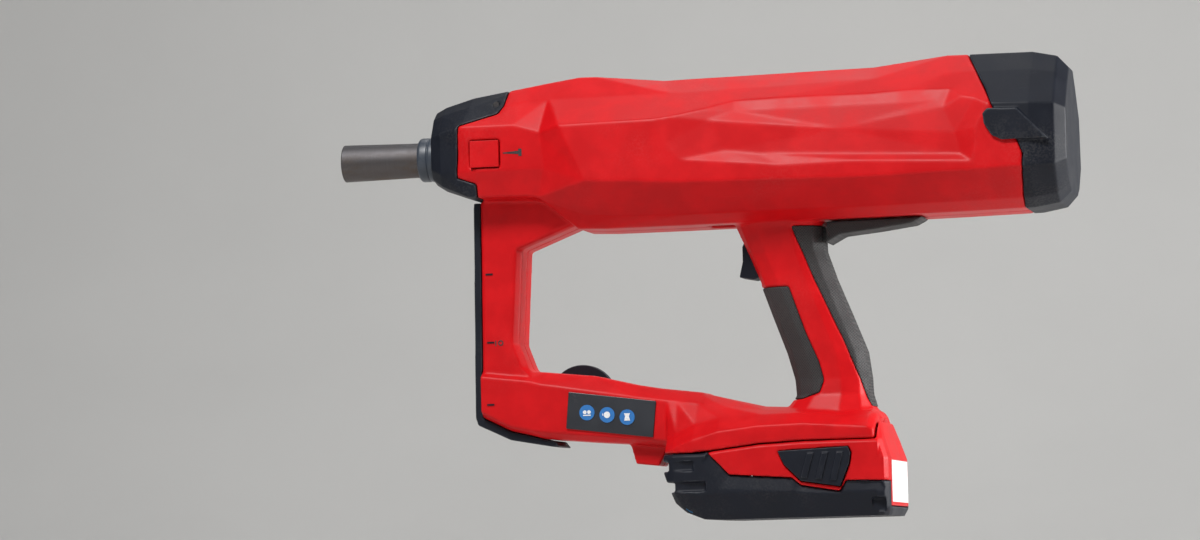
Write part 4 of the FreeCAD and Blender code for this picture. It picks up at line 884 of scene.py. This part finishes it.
class BuildSprings(bpy.types.Operator):
    """Copy the three coil springs from their CAD parts, smooth shaded, in spring steel"""

    bl_idname = "nail_gun.springs"
    bl_label = "Springs"

    def execute(self, context):
        joints = frame["record"]["behaviour"]["joints"]
        strokes = {entry["name"]: entry.get("range_m", [0, 0])[1] for entry in joints}
        strokes["trigger_pull"] = context.scene.nail_gun_nose.trigger_stroke
        for name, joint in (("nose_spring", "nose_press"), ("drive_spring", "driver_slide"),
                            ("trigger_spring", "trigger_pull")):
            coil = add_object(name + "_coil", merged_copy(name))
            coil.data.polygons.foreach_set("use_smooth", np.ones(len(coil.data.polygons), bool))
            finish_piece(coil, "tool", "spring_steel", [name])
            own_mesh(coil)
        return {"FINISHED"}


class BuildLabels(bpy.types.Operator):
    """Make the label plate, its blue signs, the rear label and the printed marks"""

    bl_idname = "nail_gun.labels"
    bl_label = "Labels"

    def execute(self, context):
        s = context.scene.nail_gun_marks
        finish_piece(bevelled_plate("label_plate", 0.35 * MM), "tool", "label_film", ["label_plate"])
        finish_piece(bevelled_plate("battery_label", 0.2 * MM), "battery", "pale_label", ["battery_label"])
        low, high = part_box("info_discs")
        face = low.y
        first = np.array([low.x + s.sign_radius, high.z - s.sign_radius])
        last = np.array([high.x - s.sign_radius, low.z + s.sign_radius])
        discs, signs = [], []
        for k in range(3):
            x, z = first + (last - first) * k / 2
            round_outline = circle_outline(x, z, s.sign_radius)
            discs.append(plate_on_side("disc", round_outline, high.y, high.y - low.y, LEFT))
            for outline in sign_outlines(k, x, z, s.sign_radius):
                signs.append(plate_on_side("sign", outline, face, s.print_height, LEFT))
        finish_piece(joined("sign_discs", discs), "tool", "blue_disc", ["info_discs"])
        finish_piece(joined("sign_prints", signs), "tool", "white_print")
        self.print_marks(s)
        return {"FINISHED"}

    def print_marks(self, s):
        """Print a nail beside the button and the depth in centimetres beside the middle scale mark."""
        button_low, button_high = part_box("release_button")
        tip = button_high.x + 0.8 * MM
        middle = (button_low.z + button_high.z) / 2
        shank, head = s.nail_length - 1.8 * MM, s.nail_length
        nail = [(0, 0.25 * MM), (shank, 0.9 * MM), (shank, 2 * MM), (head, 2 * MM), (head, -2 * MM),
                (shank, -2 * MM), (shank, -0.9 * MM), (0, -0.25 * MM)]
        nail = [(tip + x, middle + z) for x, z in nail]
        nail = plate_on_side("nail", nail, -s.panel_width, s.print_height, LEFT)
        finish_piece(joined("nail_symbol", [nail]), "tool", "black_print")
        marks_low, marks_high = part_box("scale_marks")
        x = marks_high.x + 0.5 * MM
        z = (marks_low.z + marks_high.z) / 2 - 2 * MM
        half, stroke = s.digit_height / 2, 0.6 * MM
        one = [(x, z - half), (x + stroke, z - half), (x + stroke, z + half), (x, z + half)]
        zero = half_rings(x + 3.1 * MM, z, half, half, stroke)
        face = -s.column_width
        digits = [plate_on_side("digit", outline, face, s.print_height, LEFT) for outline in (one, *zero)]
        finish_piece(joined("depth_number", digits), "tool", "black_print")


def sign_outlines(kind, x, z, radius):
    """White shapes on a blue disc: two dots over a bar, a ball with a tab, and a waisted block."""
    if kind == 0:
        dots = [circle_outline(x + side * 0.28 * radius, z + 0.05 * radius, 0.24 * radius, 24)
                for side in (LEFT, RIGHT)]
        bar = [(-0.5, -0.42), (0.5, -0.42), (0.5, -0.28), (-0.5, -0.28)]
        return [*dots, scaled_outline(bar, x, z, radius)]
    if kind == 1:
        tab = [(-0.6, -0.1), (-0.5, -0.1), (-0.5, 0.2), (-0.6, 0.2)]
        return [circle_outline(x, z, 0.42 * radius, 32), scaled_outline(tab, x, z, radius)]
    block = [(-0.4, -0.45), (0.4, -0.45), (0.25, 0.1), (0.4, 0.5), (-0.4, 0.5), (-0.25, 0.1)]
    return [scaled_outline(block, x, z, radius)]


def scaled_outline(outline, x, z, size):
    """The outline's points times a size, about (x, z)."""
    return np.array([x, z]) + size * np.array(outline)


# Soft round lights: name, place, the point it shines at, width in metres and power in watts.
LIGHTS = (
    ("key_light", (-0.1, -1.25, 1.55), (0.18, 0, -0.05), 0.7, 46),
    ("fill_light", (-0.9, -2.6, 1.0), (0.2, 0, -0.08), 1.4, 5.5),
    ("rim_light", (1.4, 0.25, 0.1), (0.12, 0, -0.1), 0.6, 20),
    ("backdrop_light", (0.2, 1.5, 2.6), (0.2, 3.0, 0.3), 2.0, 40),
)


class BuildStage(bpy.types.Operator):
    """Set the floor, backdrop, soft lights and camera"""

    bl_idname = "nail_gun.stage"
    bl_label = "Stage"

    def execute(self, context):
        colours = context.scene.nail_gun_colours
        floor_z, reach, back_y, bend = -0.262, 6.0, 2.2, 0.9
        add_sweep(floor_z, reach, back_y, bend, tuple(colours.floor))
        for light in LIGHTS:
            add_area(*light)
        add_world(context.scene, 0.06, 0.5)
        context.scene.view_settings.view_transform = "Standard"
        add_camera(context.scene.nail_gun_view)
        return {"FINISHED"}


def add_sweep(floor_z, reach, back_y, bend, colour):
    """A floor that turns up into a backdrop: flat, then a quarter circle, then upright."""
    turn = np.linspace(0, math.pi / 2, 24)
    y = np.concatenate([[-reach], back_y + bend * np.sin(turn), [back_y + bend]])
    z = np.concatenate([[floor_z], floor_z + bend * (1 - np.cos(turn)), [floor_z + reach]])
    count = len(y)
    points = np.column_stack([np.repeat([-reach, reach], count), np.tile(y, 2), np.tile(z, 2)])
    k = np.arange(count - 1)
    faces = np.stack([k, k + count, k + count + 1, k + 1], axis=1)
    sweep = add_object("floor", mesh_from_arrays("floor", points, faces))
    material, tree, shader, place = start_material("Pale floor")
    tint = noise(tree, place, 3.0, 4.0)
    base = blend_colour(tree, remap(tree, tint, 0.3, 0.7), colour, tuple(0.97 * c for c in colour))
    tree.links.new(base, shader.inputs["Base Color"])
    shader.inputs["Roughness"].default_value = 0.85
    see_through_from_behind(tree, shader)
    sweep.data.materials.append(material)


def see_through_from_behind(tree, shader):
    """Let a camera that stands behind the backdrop or under the floor see the tool."""
    behind = node(tree, "ShaderNodeNewGeometry").outputs["Backfacing"]
    camera_ray = node(tree, "ShaderNodeLightPath").outputs["Is Camera Ray"]
    mix = node(tree, "ShaderNodeMixShader")
    tree.links.new(maths(tree, "MULTIPLY", behind, camera_ray), mix.inputs[0])
    tree.links.new(shader.outputs[0], mix.inputs[1])
    tree.links.new(node(tree, "ShaderNodeBsdfTransparent").outputs[0], mix.inputs[2])
    tree.links.new(mix.outputs[0], tree.nodes["Material Output"].inputs["Surface"])


def add_world(scene, glow, seen):
    """A faint even light all round, which the camera sees as a pale grey."""
    world = bpy.data.worlds.new("Studio")
    world.use_nodes = True
    tree = world.node_tree
    background = tree.nodes["Background"]
    background.inputs["Color"].default_value = (0.95, 0.96, 1.0, 1)
    camera_ray = node(tree, "ShaderNodeLightPath").outputs["Is Camera Ray"]
    extra = maths(tree, "MULTIPLY", camera_ray, seen - glow)
    tree.links.new(maths(tree, "ADD", extra, glow), background.inputs["Strength"])
    scene.world = world


def add_area(name, place, target, size, power):
    """A round area light that shines from its place at its target."""
    lamp = bpy.data.lights.new(name, "AREA")
    lamp.shape = "DISK"
    lamp.size = size
    lamp.energy = power
    item = add_object(name, lamp)
    item.location = place
    item.rotation_euler = (Vector(target) - Vector(place)).to_track_quat("-Z", "Y").to_euler()


def add_camera(view):
    """Put the camera at a distance from its aim, turned, raised and rolled as set."""
    back = Vector((math.sin(view.turn) * math.cos(view.rise), -math.cos(view.turn) * math.cos(view.rise),
                   math.sin(view.rise)))
    up = Vector((-math.sin(view.turn) * math.sin(view.rise), math.cos(view.turn) * math.sin(view.rise),
                 math.cos(view.rise)))
    right = up.cross(back).normalized()
    rolled_right = right * math.cos(view.roll) - up * math.sin(view.roll)
    rolled_up = up * math.cos(view.roll) + right * math.sin(view.roll)
    lens = bpy.data.cameras.new("camera")
    lens.lens = view.lens
    lens.sensor_width = 36.0
    lens.clip_start, lens.clip_end = 0.1, 30.0
    camera = add_object("camera", lens)
    turn = Matrix((rolled_right, rolled_up, back)).transposed().to_4x4()
    camera.matrix_world = Matrix.Translation(Vector(view.aim) + back * view.distance) @ turn
    bpy.context.scene.camera = camera


# ---------------------------------------------------------------- panel and registration


class NailGunPanel(bpy.types.Panel):
    """Sidebar panel with the nail gun's settings and build steps"""

    bl_idname = "VIEW3D_PT_nail_gun"
    bl_label = "Nail gun"
    bl_space_type = "VIEW_3D"
    bl_region_type = "UI"
    bl_category = "Nail gun"

    def draw(self, context):
        for key in SETTINGS:
            group = getattr(context.scene, key)
            for name in group.__annotations__:
                self.layout.prop(group, name)
        for step in STEPS:
            self.layout.operator(step.bl_idname)


SETTINGS = {
    "nail_gun_shells": NailGunShells,
    "nail_gun_nose": NailGunNose,
    "nail_gun_marks": NailGunMarks,
    "nail_gun_colours": NailGunColours,
    "nail_gun_view": NailGunView,
}
STEPS = (BuildFinishes, BuildHousing, BuildGrips, BuildBattery, BuildControls, BuildNose,
         BuildSprings, BuildLabels, BuildStage)
CLASSES = (*SETTINGS.values(), *STEPS, NailGunPanel)


def register():
    """Register the classes and hang the settings on the scene."""
    for item in CLASSES:
        bpy.utils.register_class(item)
    for key, group in SETTINGS.items():
        setattr(bpy.types.Scene, key, PointerProperty(type=group))


def unregister():
    """Undo what register does."""
    for key in SETTINGS:
        delattr(bpy.types.Scene, key)
    for item in reversed(CLASSES):
        bpy.utils.unregister_class(item)


def main():
    """Build everything in order."""
    register()
    bpy.ops.nail_gun.finishes()
    bpy.ops.nail_gun.housing()
    bpy.ops.nail_gun.grips()
    bpy.ops.nail_gun.battery()
    bpy.ops.nail_gun.controls()
    bpy.ops.nail_gun.nose()
    bpy.ops.nail_gun.springs()
    bpy.ops.nail_gun.labels()
    bpy.ops.nail_gun.stage()


if __name__ == "__main__":
    main()
